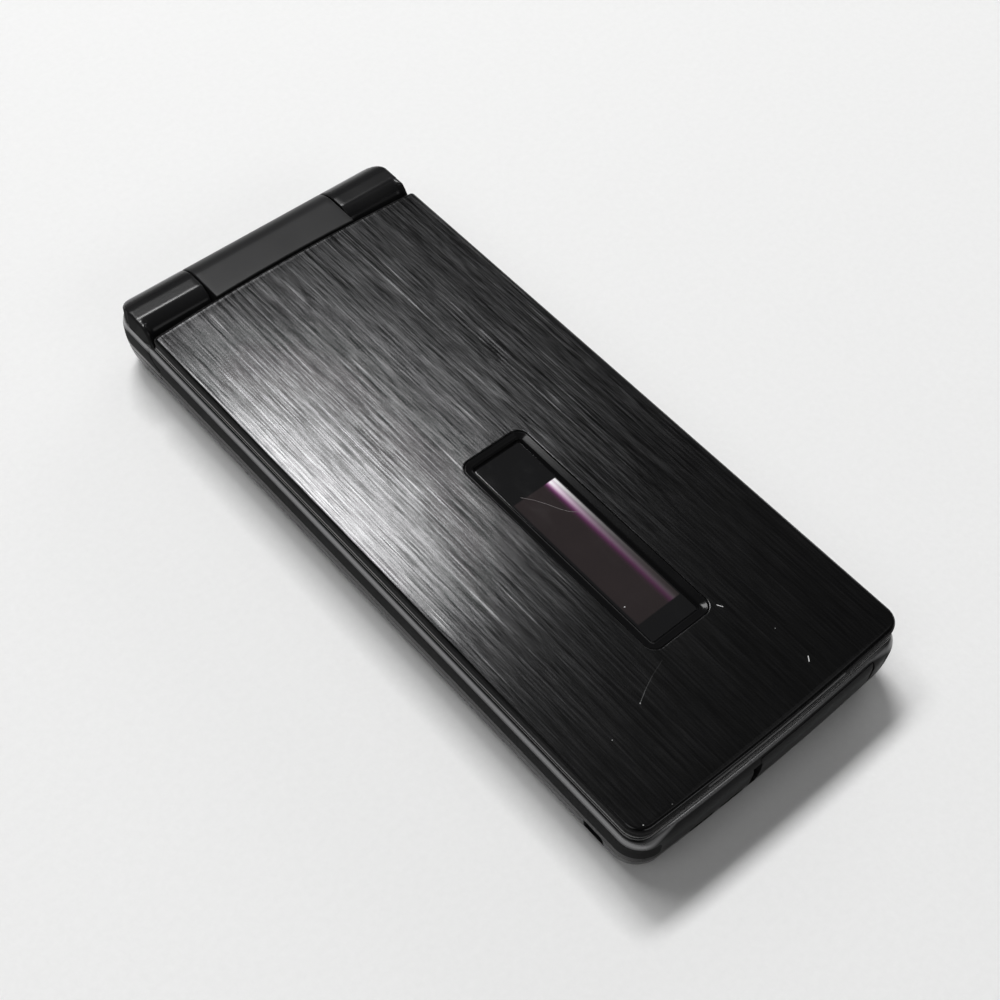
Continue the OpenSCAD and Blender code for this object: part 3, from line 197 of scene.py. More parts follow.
class Form:
    """A mesh under construction, in millimetres in the part's own frame."""

    def __init__(self):
        self.verts, self.faces = [], []

    def ring(self, points, z=None):
        start = len(self.verts)
        self.verts += [(p[0], p[1], p[2] if z is None else z) for p in points]
        return list(range(start, len(self.verts)))

    def bridge(self, a, b):
        n = len(a)
        self.faces += [(a[i], a[(i + 1) % n], b[(i + 1) % n], b[i]) for i in range(n)]

    def wall(self, levels, closed=False):
        """Faces through outlines of equal length, each given as (height, points)."""
        rings = [self.ring(p, z) for z, p in levels]
        for a, b in zip(rings, rings[1:] + (rings[:1] if closed else [])):
            self.bridge(a, b)
        return rings[0], rings[-1]

    def cap(self, ring):
        self.faces.append(tuple(ring))

    def fill(self, *rings):
        """Flat face inside the first ring and outside the others."""
        flat = [i for r in rings for i in r]
        loops = [[Vector(self.verts[i]) for i in r] for r in rings]
        self.faces += [tuple(flat[k] for k in t) for t in tessellate_polygon(loops)]

    def block(self, levels):
        """Body through the levels, closed at both ends."""
        first, last = self.wall(levels)
        self.cap(first)
        self.cap(last)
        return self

    def tube(self, levels):
        """Ring-shaped body whose last level joins the first."""
        self.wall(levels, closed=True)
        return self

    def sections(self, rings):
        """Closed body through rings of points in space."""
        return self.block([(None, ring) for ring in rings])

    def object(self, name="tool"):
        mesh = bpy.data.meshes.new(name)
        mesh.from_pydata([(x * MM, y * MM, z * MM) for x, y, z in self.verts], [], self.faces)
        bm = bmesh.new()
        bm.from_mesh(mesh)
        bmesh.ops.remove_doubles(bm, verts=bm.verts, dist=1e-7)
        bmesh.ops.recalc_face_normals(bm, faces=bm.faces)
        bm.to_mesh(mesh)
        bm.free()
        return placed(name, mesh)


def shown(obj):
    """A mesh of what obj's curve or modifiers make."""
    return bpy.data.meshes.new_from_object(obj.evaluated_get(bpy.context.evaluated_depsgraph_get()))


def baked(obj):
    """Applies obj's modifiers to its mesh."""
    old, obj.data = obj.data, shown(obj)
    obj.modifiers.clear()
    bpy.data.meshes.remove(old)
    return obj


def combine(obj, tools, operation="DIFFERENCE"):
    """Cuts, joins or intersects obj with each tool, and removes the tools."""
    for tool in tools:
        m = obj.modifiers.new("combine", "BOOLEAN")
        m.operation, m.solver, m.object = operation, "EXACT", tool
        baked(obj)
        data = tool.data
        bpy.data.objects.remove(tool)
        bpy.data.meshes.remove(data)
    return obj


def eased(obj, width):
    """Rounds the sharp edges of obj a little."""
    m = obj.modifiers.new("ease", "BEVEL")
    m.width, m.segments, m.limit_method, m.angle_limit = width * MM, 2, "ANGLE", math.radians(45)
    m.use_clamp_overlap, m.miter_outer = True, "MITER_ARC"
    return baked(obj)


def prism(points, z0, z1):
    return Form().block([(z0, points), (z1, points)]).object()


def brick(low, high):
    (x0, y0, z0), (x1, y1, z1) = low, high
    return prism([(x0, y0), (x1, y0), (x1, y1), (x0, y1)], z0, z1)


def bar(profile, x0, x1):
    """Straight body along X over a profile of (y, z) points."""
    return Form().sections([[(x, y, z) for y, z in profile] for x in (x0, x1)]).object()


def piece(obj, name, body, material, node, smooth=35):
    """Finishes obj as the piece that stands for a CAD node; edges under smooth degrees shade round."""
    obj.name = obj.data.name = name
    for m in (material if isinstance(material, list) else [material]):
        obj.data.materials.append(m)
    obj.data.shade_smooth()
    obj.data.set_sharp_from_angle(angle=math.radians(smooth))
    w = obj.modifiers.new("normals", "WEIGHTED_NORMAL")
    w.keep_sharp, w.weight = True, 60
    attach(obj, body)
    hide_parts(node)


def faced(obj, low, high, steep=0.75, cheek=99.0, tip_middle=True):
    """Gives outer side faces of obj its second material: those between two heights, and cheeks above a third.

    Without tip_middle, the middle of the tip end keeps the first."""
    for face in obj.data.polygons:
        x, y, z = face.center / MM
        at_tip = y < -55.6 and (tip_middle or abs(x) >= 20.4)
        outer = abs(x) > 22.9 or y > 46.85 or at_tip
        side = low < z < high and abs(face.normal.z) < steep and outer
        above = z > cheek and abs(face.normal.x) > 0.7 and abs(x) > 23
        if side or above:
            face.material_index = 1
    return obj


# ------------ finishes
class Graph:
    """Short ways to add and join shader nodes."""

    def __init__(self, tree):
        self.tree = tree

    def plug(self, socket, value):
        if isinstance(value, bpy.types.NodeSocket):
            self.tree.links.new(value, socket)
        elif isinstance(value, (tuple, list)) and socket.type == "RGBA":
            socket.default_value = (*value, 1.0)[:4]
        else:
            socket.default_value = value

    def add(self, kind, inputs=(), **values):
        """A node, its settings and sockets given by name or its first sockets in order."""
        node = self.tree.nodes.new("ShaderNode" + kind)
        for name, value in values.items():
            if name not in node.inputs:
                setattr(node, name, value)
        for name, value in values.items():
            if name in node.inputs:
                self.plug(node.inputs[name], value)
        for socket, value in zip(node.inputs, inputs):
            self.plug(socket, value)
        return node

    def math(self, operation, a, b=0.0, clamp=False):
        return self.add("Math", [a, b], operation=operation, use_clamp=clamp).outputs[0]

    def folded(operation):
        return lambda self, *values: reduce(lambda a, b: self.math(operation, a, b), values)

    plus, minus, times, most = folded("ADD"), folded("SUBTRACT"), folded("MULTIPLY"), folded("MAXIMUM")

    def range(self, value, low, high, to_low=0.0, to_high=1.0, smooth=False):
        node = self.add("MapRange", Value=value, interpolation_type="SMOOTHSTEP" if smooth else "LINEAR")
        for name, bound in zip(("From Min", "From Max", "To Min", "To Max"), (low, high, to_low, to_high)):
            self.plug(node.inputs[name], bound)
        return node.outputs[0]

    def until(self, value, low, high):
        """1 up to low, 0 from high on."""
        return self.range(value, low, high, 1.0, 0.0)

    def mix(self, factor, a, b):
        node = self.add("Mix", data_type="RGBA")
        for i, value in ((0, factor), (6, a), (7, b)):
            self.plug(node.inputs[i], value)
        return node.outputs[2]


class Finish(Graph):
    """A node material. Coordinates are the object's own, in millimetres."""

    def __init__(self, name, **sockets):
        self.material = bpy.data.materials.new(name)
        self.material.use_nodes = True
        super().__init__(self.material.node_tree)
        self.shader = self.tree.nodes["Principled BSDF"]
        self.set(**sockets)
        at = self.add("TexCoord").outputs["Object"]
        self.mm = self.add("VectorMath", [at], operation="SCALE", Scale=1 / MM).outputs[0]

    def set(self, **sockets):
        for name, value in sockets.items():
            self.plug(self.shader.inputs[name.replace("_", " ")], value)

    def noise(self, scale, detail=3.0, rough=0.55, stretch=(1, 1, 1), offset=(0, 0, 0)):
        """Noise from 0 to 1; scale is in features per millimetre."""
        at = self.add("Mapping", Vector=self.mm, Location=offset, Scale=stretch).outputs[0]
        return self.add("TexNoise", Vector=at, Scale=scale, Detail=detail, Roughness=rough).outputs["Fac"]

    def cells(self, scale, **values):
        """Distance from the middle of cells in plan, scale of them per millimetre."""
        at = self.add("Mapping", Vector=self.mm, Scale=(scale, scale, 0.0)).outputs[0]
        return self.add("TexVoronoi", Vector=at, Scale=1.0, **values).outputs["Distance"]

    def bump(self, height, distance):
        """Shades the surface as if height from 0 to 1 stood distance millimetres proud."""
        node = self.add("Bump", Height=height, Distance=distance * MM, Strength=1.0)
        self.set(Normal=node.outputs[0])

    def axes(self):
        return self.add("SeparateXYZ", [self.mm]).outputs

    def stroke(self, a, b, width):
        """1 on the line from a to b, in plan, falling to 0 at width."""
        (ax, ay), (bx, by) = a, b
        x, y, _ = self.axes()
        dx, dy = bx - ax, by - ay
        long = dx * dx + dy * dy
        px, py = self.minus(x, ax), self.minus(y, ay)
        t = self.math("ADD", self.times(px, dx / long), self.times(py, dy / long), True)
        ex, ey = self.minus(px, self.times(t, dx)), self.minus(py, self.times(t, dy))
        d = self.math("SQRT", self.plus(self.times(ex, ex), self.times(ey, ey)))
        return self.until(d, width * 0.4, width)


def shade(color, k):
    return [c * k for c in color]


def mottle(f, color, tint, roughness, spread):
    """Slow drift in the colour and the roughness of a plastic."""
    slow = f.noise(0.12, 3.0, 0.5)
    return (f.mix(f.range(slow, 0.35, 0.65), color, shade(color, tint)),
            f.range(slow, 0.3, 0.7, roughness - spread, roughness + spread))


def moulded(name, color, roughness, grain=2.2, depth=0.012, spread=0.06, coat=0.0, tint=1.25, specular=0.5):
    """Moulded or painted plastic: fine grain, slow mottle in colour and sheen, faint handling dust."""
    f = Finish(name, Specular_IOR_Level=specular, Coat_Weight=coat, Coat_Roughness=0.08)
    clean, sheen = mottle(f, color, tint, roughness, spread)
    dust = f.range(f.noise(1.1, 5.0, 0.75, offset=(7, 3, 1)), 0.66, 0.8)
    f.set(Base_Color=f.mix(f.times(dust, 0.25), clean, [min(1, c * 1.6 + 0.02) for c in color]))
    f.set(Roughness=f.plus(sheen, f.times(dust, 0.08)))
    f.bump(f.noise(grain, 4.0, 0.6), depth)
    return f.material


def cased(name, color, roughness, grain):
    """Satin casing plastic whose shoulder is painted as a metallic trim that narrows to a line at the tip."""
    f = Finish(name, Specular_IOR_Level=0.17)
    x, y, z = f.axes()
    out = f.math("ABSOLUTE", x)
    tip = f.until(y, -52.0, -50.0)
    thin = f.times(tip, f.until(out, 18.0, 23.3))
    where = f.most(f.range(out, 22.9, 23.3), tip, f.range(y, 45.3, 45.5))
    low = f.range(z, f.range(thin, 0.0, 1.0, 8.25, 9.22), f.range(thin, 0.0, 1.0, 8.85, 9.42))
    line = f.times(thin, f.until(z, 9.655, 9.69))
    trim = f.times(low, f.most(f.range(z, 9.2, 9.6, 1.0, 0.0, True), line), where)
    satin = f.times(f.math("MULTIPLY", thin, 1.4, True), f.until(z, 9.2, 9.4), 0.33)
    plain, sheen = mottle(f, color, 1.25, roughness, 0.015)
    f.set(Base_Color=f.mix(trim, plain, (0.21, 0.21, 0.213)), Metallic=trim, Roughness=f.plus(sheen, satin))
    f.bump(f.noise(grain, 4.0, 0.6), 0.004)
    return f.material


def metal(name, color, roughness, grain=3.0, depth=0.006):
    f = Finish(name, Metallic=1.0)
    fine = f.noise(grain, 4.0, 0.6)
    f.set(Base_Color=f.mix(f.noise(0.25, 3.0, 0.5), color, shade(color, 0.8)),
          Roughness=f.range(fine, 0.3, 0.7, roughness * 0.8, roughness * 1.2))
    f.bump(fine, depth)
    return f.material


def brushed_plate():
    """Black hairline metal, brushed along Y, with the marks of use, painted glints, and hairline contrast
    painted stronger towards the lit hinge end.
    """
    f = Finish("plate_hairline", Anisotropic=0.3)
    hair = f.noise(3.0, 1.0, 0.5, (1.0, 0.012, 1.0))
    cloud = f.noise(0.30, 3.0, 0.6, (1.0, 0.45, 1.0), (11, 2, 0))
    layers = [(hair, 0.28), (f.noise(5.2, 1.0, 0.5, (1.0, 0.03, 1.0), (2, 7, 0)), 0.30),
              (f.noise(4.2, 2.0, 0.6, (1.0, 0.11, 1.0), (5, 5, 0)), 0.17),
              (f.noise(1.3, 1.0, 0.5, (1.0, 0.03, 1.0), (3, 1, 0)), 0.08),
              (f.noise(7.5, 1.0, 0.6, (1.0, 0.5, 1.0)), 0.11), (cloud, 0.06)]
    mixed = f.plus(*[f.times(layer, weight) for layer, weight in layers])
    x, y, _ = f.axes()
    # Painted light: the random hairline contrast and the glints stay strong towards the hinge end and the
    # left, where the plate catches the lamp, and fade towards the dark tip.
    clear = f.range(f.plus(y, f.times(x, -0.35)), -42.0, -8.0, 0.16, 1.0, True)
    tone = f.plus(f.times(f.minus(f.range(mixed, 0.41, 0.59), 0.5), clear), 0.5)
    # Painted glints: sparse pale hairlines in the colour, standing in for light caught by the grooves.
    bright = f.range(f.noise(3.6, 0.0, 0.5, (1.0, 0.012, 1.0), (17, 4, 0)), 0.66, 0.80)
    painted_glints = f.times(bright, f.times(f.range(cloud, 0.35, 0.65), clear))
    scratch = f.most(*[f.times(f.stroke(a, b, width), strength) for a, b, width, strength in MARKS])
    black = f.mix(tone, (0.0118, 0.0118, 0.012), (0.051, 0.051, 0.0518))
    black_with_painted_glints = f.mix(painted_glints, black, (0.092, 0.092, 0.093))
    f.set(Base_Color=f.mix(scratch, black_with_painted_glints, (0.8, 0.8, 0.8)), Metallic=f.minus(1.0, scratch))
    f.set(Roughness=f.plus(f.range(mixed, 0.40, 0.60, 0.15, 0.20), f.times(painted_glints, 0.08)))
    f.bump(f.plus(hair, f.times(scratch, 4.0)), 0.0008)
    f.plug(f.shader.inputs["Tangent"], f.add("Tangent", direction_type="UV_MAP").outputs[0])
    return f.material


def window_glass():
    """Dark lens over the sub display: black border, brown panel, and a painted reflection of a pale streak
    with a violet fringe down one side.
    """
    f = Finish("window_glass", Roughness=0.06, Specular_IOR_Level=0.4, Coat_Weight=0.45, Coat_Roughness=0.03)
    x, y, _ = f.axes()
    down = f.minus(-8.9, y)
    across = f.times(f.range(x, -3.2, -3.0), f.until(x, 4.55, 4.7))
    along = f.times(f.range(down, 0.0, 0.15), f.range(y, -34.05, -33.85))
    panel = f.times(across, along)
    fall = lambda length: f.math("EXPONENT", f.times(down, -1.0 / length))
    bell = lambda at, sharp: f.math("EXPONENT", f.times(f.math("POWER", f.minus(x, at), 2.0), -sharp))
    painted_band = lambda at, sharp, length, strength: f.times(bell(at, sharp), f.times(fall(length), strength))
    # Painted reflection: a pale streak with faint lines and a violet fringe near the right of the panel,
    # fading towards the tip.
    painted_reflection = f.times(bell(3.65, 6.0), f.plus(fall(3.6), f.times(fall(22.0), 0.11)))
    painted_streak_lines = f.plus(0.93, f.times(f.math("SINE", f.times(x, 30.0)), 0.07))
    painted_white_streak = f.times(f.math("ADD", painted_reflection, painted_band(4.4, 8.7, 5.0, 1.05), True), painted_streak_lines)
    violet = f.plus(painted_band(3.65, 4.1, 4.0, 0.45), painted_band(3.2, 4.0, 25.0, 0.09))
    brown = f.mix(f.noise(0.16, 3.0, 0.5), (0.017, 0.013, 0.0135), (0.024, 0.0175, 0.018))
    color = f.mix(panel, (0.0045, 0.0045, 0.005), brown)
    color = f.mix(f.times(violet, panel), color, (1.0, 0.05, 0.80))
    color = f.mix(f.times(painted_white_streak, panel), color, (1.0, 0.99, 1.0))
    scratch = f.most(*[f.stroke(a, b, 0.035) for a, b in zip(LENS_MARK, LENS_MARK[1:])])
    # Painted glint: a small pale spot on the lens.
    speck = f.stroke(LENS_GLINT, (LENS_GLINT[0] + 0.04, LENS_GLINT[1]), 0.11)
    color = f.mix(speck, f.mix(scratch, color, (0.13, 0.115, 0.115)), (0.7, 0.7, 0.7))
    smear = f.range(f.noise(0.35, 4.0, 0.6, (1, 0.6, 1)), 0.45, 0.75, 0.04, 0.12)
    f.set(Base_Color=color, Roughness=f.plus(smear, f.times(scratch, 0.4)))
    f.bump(f.noise(2.0), 0.0015)
    return f.material


def inner_glass():
    """Main lens: black border with the sleeping panel behind it."""
    f = Finish("main_glass", Roughness=0.05, Coat_Weight=0.5, Coat_Roughness=0.03)
    x, y, _ = f.axes()
    across = f.times(f.range(x, -20.1, -19.95), f.until(x, 19.95, 20.1))
    along = f.times(f.range(y, -42.8, -42.65), f.until(y, 29.15, 29.3))
    panel = f.mix(f.noise(0.05, 2.0, 0.5), (0.011, 0.013, 0.016), (0.017, 0.019, 0.023))
    f.set(Base_Color=f.mix(f.times(across, along), (0.004, 0.004, 0.0045), panel))
    f.set(Roughness=f.range(f.noise(0.22, 5.0, 0.6, (1, 0.5, 1)), 0.45, 0.75, 0.03, 0.14))
    f.bump(f.noise(1.5), 0.001)
    return f.material


def circuit():
    """Green solder mask with darker traces and bright pads."""
    f = Finish("solder_mask", Roughness=0.3, Coat_Weight=0.3, Coat_Roughness=0.1)
    cells = f.cells(0.9, distance="CHEBYCHEV", Randomness=0.6)
    lines, pads = f.range(cells, 0.40, 0.46), f.until(cells, 0.10, 0.13)
    f.set(Base_Color=f.mix(pads, f.mix(lines, (0.012, 0.10, 0.045), (0.02, 0.17, 0.07)), (0.6, 0.5, 0.25)))
    f.bump(lines, 0.02)
    return f.material


def battery_sleeve():
    """Wrapped battery cell: dark sleeve with a faint weave and a pale band at each end."""
    f = Finish("sleeve", Roughness=0.4)
    _, y, _ = f.axes()
    band = f.most(f.range(y, -2.6, -2.4), f.until(y, -41.6, -41.4))
    fine = f.noise(4.0, 2.0, 0.5, (1, 0.3, 1))
    f.set(Base_Color=f.mix(band, f.mix(fine, (0.05, 0.055, 0.065), (0.07, 0.075, 0.085)), (0.35, 0.36, 0.37)))
    f.bump(fine, 0.01)
    return f.material


def perforated():
    """Fine steel mesh behind the ear slot."""
    f = Finish("ear_mesh", Metallic=1.0, Roughness=0.35)
    holes = f.until(f.cells(2.6, Randomness=0.0), 0.26, 0.34)
    f.set(Base_Color=f.mix(holes, (0.16, 0.16, 0.165), (0.006, 0.006, 0.006)))
    f.bump(f.minus(1.0, holes), 0.06)
    return f.material


def sleeping_panel():
    """Display that is switched off: near black with a violet cast."""
    f = Finish("sleeping_panel", Roughness=0.12, Coat_Weight=0.5, Coat_Roughness=0.05)
    rows = f.add("TexWave", Vector=f.mm, Scale=3.0, Distortion=0.0, bands_direction="Y").outputs["Fac"]
    slow = f.noise(0.08)
    f.set(Base_Color=f.mix(slow, (0.018, 0.013, 0.017), (0.026, 0.02, 0.026)),
          Roughness=f.range(slow, 0.3, 0.7, 0.08, 0.16))
    f.bump(rows, 0.0005)
    return f.material


# Marks of use on the panel: from, to, width, strength. Then the scratch on the window's lens, and the place
# of a painted glint spot on it.
MARKS = [((-11.41, -42.87), (-9.59, -41.91), 0.06, 0.22), ((-9.59, -41.91), (-7.45, -40.99), 0.055, 0.12),
         ((-7.45, -40.99), (-4.77, -40.11), 0.05, 0.06), ((-11.43, -42.88), (-11.38, -42.85), 0.11, 0.6),
         ((6.89, -38.70), (7.29, -39.36), 0.09, 0.8), ((10.07, -52.53), (10.53, -51.93), 0.09, 0.9),
         ((-17.84, -44.43), (-17.78, -44.43), 0.08, 0.5), ((-18.18, -55.61), (-18.12, -55.61), 0.08, 0.35),
         ((10.27, -46.18), (10.31, -46.18), 0.08, 0.5), ((-22.89, -55.34), (-22.83, -55.34), 0.09, 0.7)]
LENS_MARK = [(-1.38, -8.53), (-0.20, -10.04), (0.77, -11.77), (1.55, -13.40), (2.23, -14.50), (3.36, -15.53)]
LENS_GLINT = (-2.56, -30.75)

PLATE = brushed_plate()
KNUCKLE = moulded("satin_knuckle", (0.0165, 0.0165, 0.017), 0.31, 3.0, 0.003, 0.03, tint=1.15, specular=0.10)
CAP = cased("cap_satin", (0.008, 0.008, 0.0083), 0.20, 1.6)
BEZEL = moulded("bezel_gloss", (0.004, 0.004, 0.0042), 0.13, 1.2, 0.001, 0.02, specular=0.07)
SHELL = cased("base_satin", (0.006, 0.006, 0.0062), 0.26, 1.8)
MATT = moulded("matt_band", (0.0045, 0.0045, 0.0047), 0.62, 2.0, 0.004, 0.03, specular=0.07)
BAND = moulded("lid_band", (0.009, 0.009, 0.0093), 0.18, 1.8, 0.002, 0.03)
CUT = moulded("panel_edge", (0.004, 0.004, 0.0042), 0.6, 3.0, 0.004, 0.05, specular=0.08)
FACE = moulded("lid_face", (0.013, 0.013, 0.0135), 0.38, 2.6, 0.010, 0.05)
REAR = moulded("rear_satin", (0.011, 0.011, 0.0114), 0.28, 3.2, 0.008, 0.04, specular=0.38)
COVER = moulded("cover_satin", (0.013, 0.013, 0.0135), 0.36, 3.2, 0.008, 0.04)
WINDOW = window_glass()
MAIN_GLASS = inner_glass()
KEYS = moulded("key_satin", (0.018, 0.018, 0.019), 0.30, 2.4, 0.004, 0.02, coat=0.2)
RING = moulded("ring_satin", (0.05, 0.05, 0.052), 0.3, 2.4, 0.003, 0.02, coat=0.2)
LEGEND, GREEN, RED = [moulded("legend_" + name, color, 0.5, 4.0, 0.002) for name, color in (
    ("ink", (0.72, 0.73, 0.74)), ("green", (0.05, 0.45, 0.14)), ("red", (0.6, 0.05, 0.04)))]
RUBBER = moulded("rubber", (0.022, 0.022, 0.023), 0.7, 3.0, 0.02)
STEEL = metal("steel", (0.55, 0.55, 0.57), 0.3)
DARK_STEEL = metal("dark_steel", (0.2, 0.2, 0.21), 0.34)
GOLD = metal("gold_flash", (0.85, 0.62, 0.28), 0.22, 4.0, 0.003)
SILICONE = moulded("silicone", (0.55, 0.55, 0.53), 0.55, 1.0, 0.02, tint=1.1)
RIBBON = moulded("polyimide", (0.55, 0.22, 0.04), 0.3, 2.0, 0.006, coat=0.3)
OPTIC = moulded("camera_glass", (0.004, 0.004, 0.006), 0.05, 1.0, 0.0005, 0.02, coat=0.8)
MESH = perforated()
PANEL = sleeping_panel()


# ------------ lid
def lid_panel():
    """Rolled panel, dipped a little at the tip and with a faint step along the hinge."""
    dip = lambda y: 0.06 * min(1, max(0, -55.6 - y))
    on = lambda cut, drop=0.0: (None, [(x, y, TOP - drop - dip(y)) for x, y in lid_plan(cut)])
    step = [(x, y, z - (0.010 if y > 45.5 else 0.0)) for x, y, z in on(1.0)[1]]
    foot = stack(lid_plan, [(PLATE_Z, 0.06), (PLATE_Z + 0.05, 0.015), (PLATE_Z + 0.1, 0.0)])
    roll = [on(cut, drop) for drop, cut in edge(ROLL, 10)]
    top = [on(ROLL + 0.08), (None, step), on(1.15), on(2.25), (TOP, window_plan(-0.25))]
    hole = [(TOP - drop, window_plan(-cut)) for drop, cut in reversed(edge(0.12, 4))]
    lap = lid_plan(ROLL + 0.1)
    under = [(PLATE_UNDER, window_plan()), (PLATE_UNDER, lap), (PLATE_Z, lap)]
    panel = Form().tube(foot + roll + top + hole + under).object()
    flat_map = panel.data.uv_layers.new(name="plan")
    for loop in panel.data.loops:
        at = panel.data.vertices[loop.vertex_index].co
        flat_map.data[loop.index].uv = (at.x * 10, at.y * 10)
    for face in panel.data.polygons:
        edge_face = abs(face.normal.z) < 0.62 and abs(face.center.x) > 12 * MM
        face.material_index = int(edge_face or face.normal.z < -0.1)
    piece(panel, "lid_panel", "lid", [PLATE, CUT], "lid_plate", 40)


def window():
    """Sloped frame let into the panel, and the lens over the sub display."""
    foot, ledge = PLATE_UNDER - 0.05, LENS_TOP + 0.02
    slope = [(11.93, 1.47), (11.95, 1.44), (12.02, 1.40), (12.14, 1.34), (12.26, 1.28), (12.36, 1.21),
             (12.42, 1.13), (12.46, 1.02), (12.51, 0.8), (12.56, 0.55), (12.61, 0.32), (12.64, 0.2)]
    levels = [(foot, -0.7), (ledge, -0.7), (ledge, 1.5), (LENS_TOP + 0.05, 1.49), *slope,
              (TOP - 0.07, 0.12), (TOP - 0.12, 0.05), (foot, 0.05)]
    bezel = Form().tube(stack(window_plan, levels)).object()
    piece(bezel, "window_frame", "lid", BEZEL, "window_bezel", 40)
    levels = [(11.45, 0.5), (11.83, 0.5), (LENS_TOP, 0.53), (LENS_TOP, 1.53), (LENS_TOP + 0.06, 1.56),
              (LENS_TOP + 0.09, 1.6), (LENS_TOP + 0.1, 1.64)]
    lens = Form().block(stack(window_plan, levels)).object()
    piece(lens, "window_lens", "lid", WINDOW, "sub_display_lens", 30)


def lid_middle():
    """The black band between the panel and the inner casing, with the pocket of the main display."""
    pocket = moved(plan(21.4, -41.4, 41.4, 1, 1, n=14, m=24), MAIN_AT)
    crease, ceiling, under = 10.95, 11.1, PLATE_UNDER - 0.05
    rim = [(BAND_Z, 0.16), (BAND_Z + 0.05, 0.09), (BAND_Z + 0.12, 0.06), (crease, 0.06),
           (PLATE_Z - 0.12, 0.06), (PLATE_Z - 0.06, 0.09), (PLATE_Z - 0.03, 0.16),
           (PLATE_Z - 0.03, ROLL + 0.15), (under, ROLL + 0.15)]
    opening = [(under, -0.75), (LENS_TOP, -0.75), (LENS_TOP, 0.45), (ceiling, 0.45)]
    levels = stack(lid_plan, rim) + stack(window_plan, opening) + [(ceiling, pocket), (BAND_Z, pocket)]
    band = faced(Form().tube(levels).object(), crease, 11.7)
    piece(band, "lid_band", "lid", [BAND, CUT], "lid_frame")


def hole_walls(form, outlines, top, bottom, soft):
    """Walls of holes with edges rounded by soft at height top; gives their rings there and at bottom."""
    sign = -1 if top > bottom else 1
    levels = [(top + sign * drop, -cut) for drop, cut in reversed(edge(soft, 3))] + [(bottom, 0)]
    return zip(*[form.wall(stack(outline, levels)) for outline in outlines])


def lid_inside():
    """Inner casing of the lid: the frame that faces the keys."""
    outlines = [shrinking_pad(42.4, 82.4, 1.0, MAIN_AT), shrinking_pad(9, 1.4, 0.7, EARPIECE_AT, slope=0)]
    outlines += [shrinking_disc(1.35, at, 40) for at in LID_SCREWS]
    outlines += [shrinking_pad(5, 1.2, 0.55, at, slope=0) for at in REST_PADS]
    form = Form()
    face, back = hole_walls(form, outlines, LID_Z, BAND_Z - 0.02, 0.1)
    rim = [(LID_Z + drop, cut) for drop, cut in reversed(edge(0.25, 5))]
    rim += [(BAND_Z - 0.14, 0.0), (BAND_Z - 0.07, 0.02), (BAND_Z - 0.02, 0.09)]
    low, high = form.wall(stack(lid_plan, rim))
    form.fill(low, *face)
    form.fill(high, *back)
    shell = faced(form.object(), LID_Z, BAND_Z, 0.9)
    piece(shell, "lid_inner_shell", "lid", [FACE, BAND], "lid_inner_case")


def row(places, outline, levels):
    """The same small body at each place, through outlines of the given heights and sizes."""
    form = Form()
    for at in places:
        form.block(stack(lambda size: outline(size, at), levels))
    return form.object()


def lid_fittings():
    """Lens of the main display, plugs over the screws, rest pads, and the mesh of the ear slot."""
    sized_pad = lambda size, at: pad(*size, at)
    lens = row([MAIN_AT], sized_pad, [
        (11.04, (42.3, 82.3, 1)), (LID_Z + 0.12, (42.3, 82.3, 1)), (LID_Z + 0.05, (42.2, 82.2, 0.95)),
        (LID_Z + 0.02, (42.05, 82.05, 0.88)), (LID_Z + 0.02, (41.8, 81.8, 0.8))])
    plugs = row(LID_SCREWS, disc, [(LID_Z + 0.27, 1.28), (LID_Z + 0.08, 1.28), (LID_Z + 0.03, 1.22),
                                   (LID_Z + 0.02, 1.1), (LID_Z + 0.03, 0.7)])
    pads = row(REST_PADS, sized_pad, [(LID_Z + 0.22, (4.9, 1.1, 0.5)), (LID_Z - 0.12, (4.9, 1.1, 0.5)),
                                      (LID_Z - 0.19, (4.8, 1.0, 0.45)), (LID_Z - 0.22, (4.6, 0.8, 0.36))])
    mesh = row([EARPIECE_AT], sized_pad, [
        (10.4, (8.9, 1.3, 0.6)), (10.06, (8.9, 1.3, 0.6)), (10.02, (8.8, 1.2, 0.55))])
    piece(lens, "main_lens", "lid", MAIN_GLASS, "main_display_lens")
    piece(plugs, "screw_plugs", "lid", RUBBER, "lid_screw_caps")
    piece(pads, "rest_pads", "lid", RUBBER, "lid_bumpers")
    piece(mesh, "ear_mesh", "lid", MESH, "earpiece_grille")


# ------------ hinge
def knuckle():
    """Middle barrel with its bridge to the lid, its ends eased."""
    soft = 0.22

    def profile(x):
        k = abs(x) / (LID_X - LID_R)
        front = LID_END - LID_BOW * k * k + 0.14
        points = [(front, z) for z in (10.25, 11.0, 11.8)]
        points += [(front + cut, TOP - drop) for drop, cut in edge(soft, 4)]
        points += [(front + (AXIS_Y - front) * t, TOP) for t in (0.3, 0.5, 0.7, 0.9)]
        return points + arc(AXIS_Y, AXIS_Z, BARREL, 90, -208, 100) + [(48.6, 10.22), (48.3, 10.2)]

    turns = np.radians([0, 22, 45, 68, 90])
    left = [(KNUCKLE_0 + soft * (1 - math.cos(t)), soft * (1 - math.sin(t))) for t in turns]
    middle = [(x, 0.0) for x in np.linspace(KNUCKLE_0 + 1, KNUCKLE_1 - 1, 14)]
    right = [(KNUCKLE_1 - (x - KNUCKLE_0), d) for x, d in reversed(left)]
    rings = [[(x, y, z) for y, z in inset(profile(x), d)] for x, d in left + middle + right]
    barrel = Form().sections(rings).object()
    piece(barrel, "middle_knuckle", "lid", KNUCKLE, "hinge_knuckle", 38)


def round_both(a, b, r):
    """Intersection of two distance fields whose meeting edge is rounded by r."""
    u, v = np.maximum(a + r, 0), np.maximum(b + r, 0)
    return np.minimum(np.maximum(a, b), -r) + np.sqrt(u * u + v * v)


def smooth(value, low, high):
    """0 below low and 1 above high, with a soft rise between them."""
    t = np.clip((value - low) / (high - low), 0, 1)
    return t * t * (3 - 2 * t)


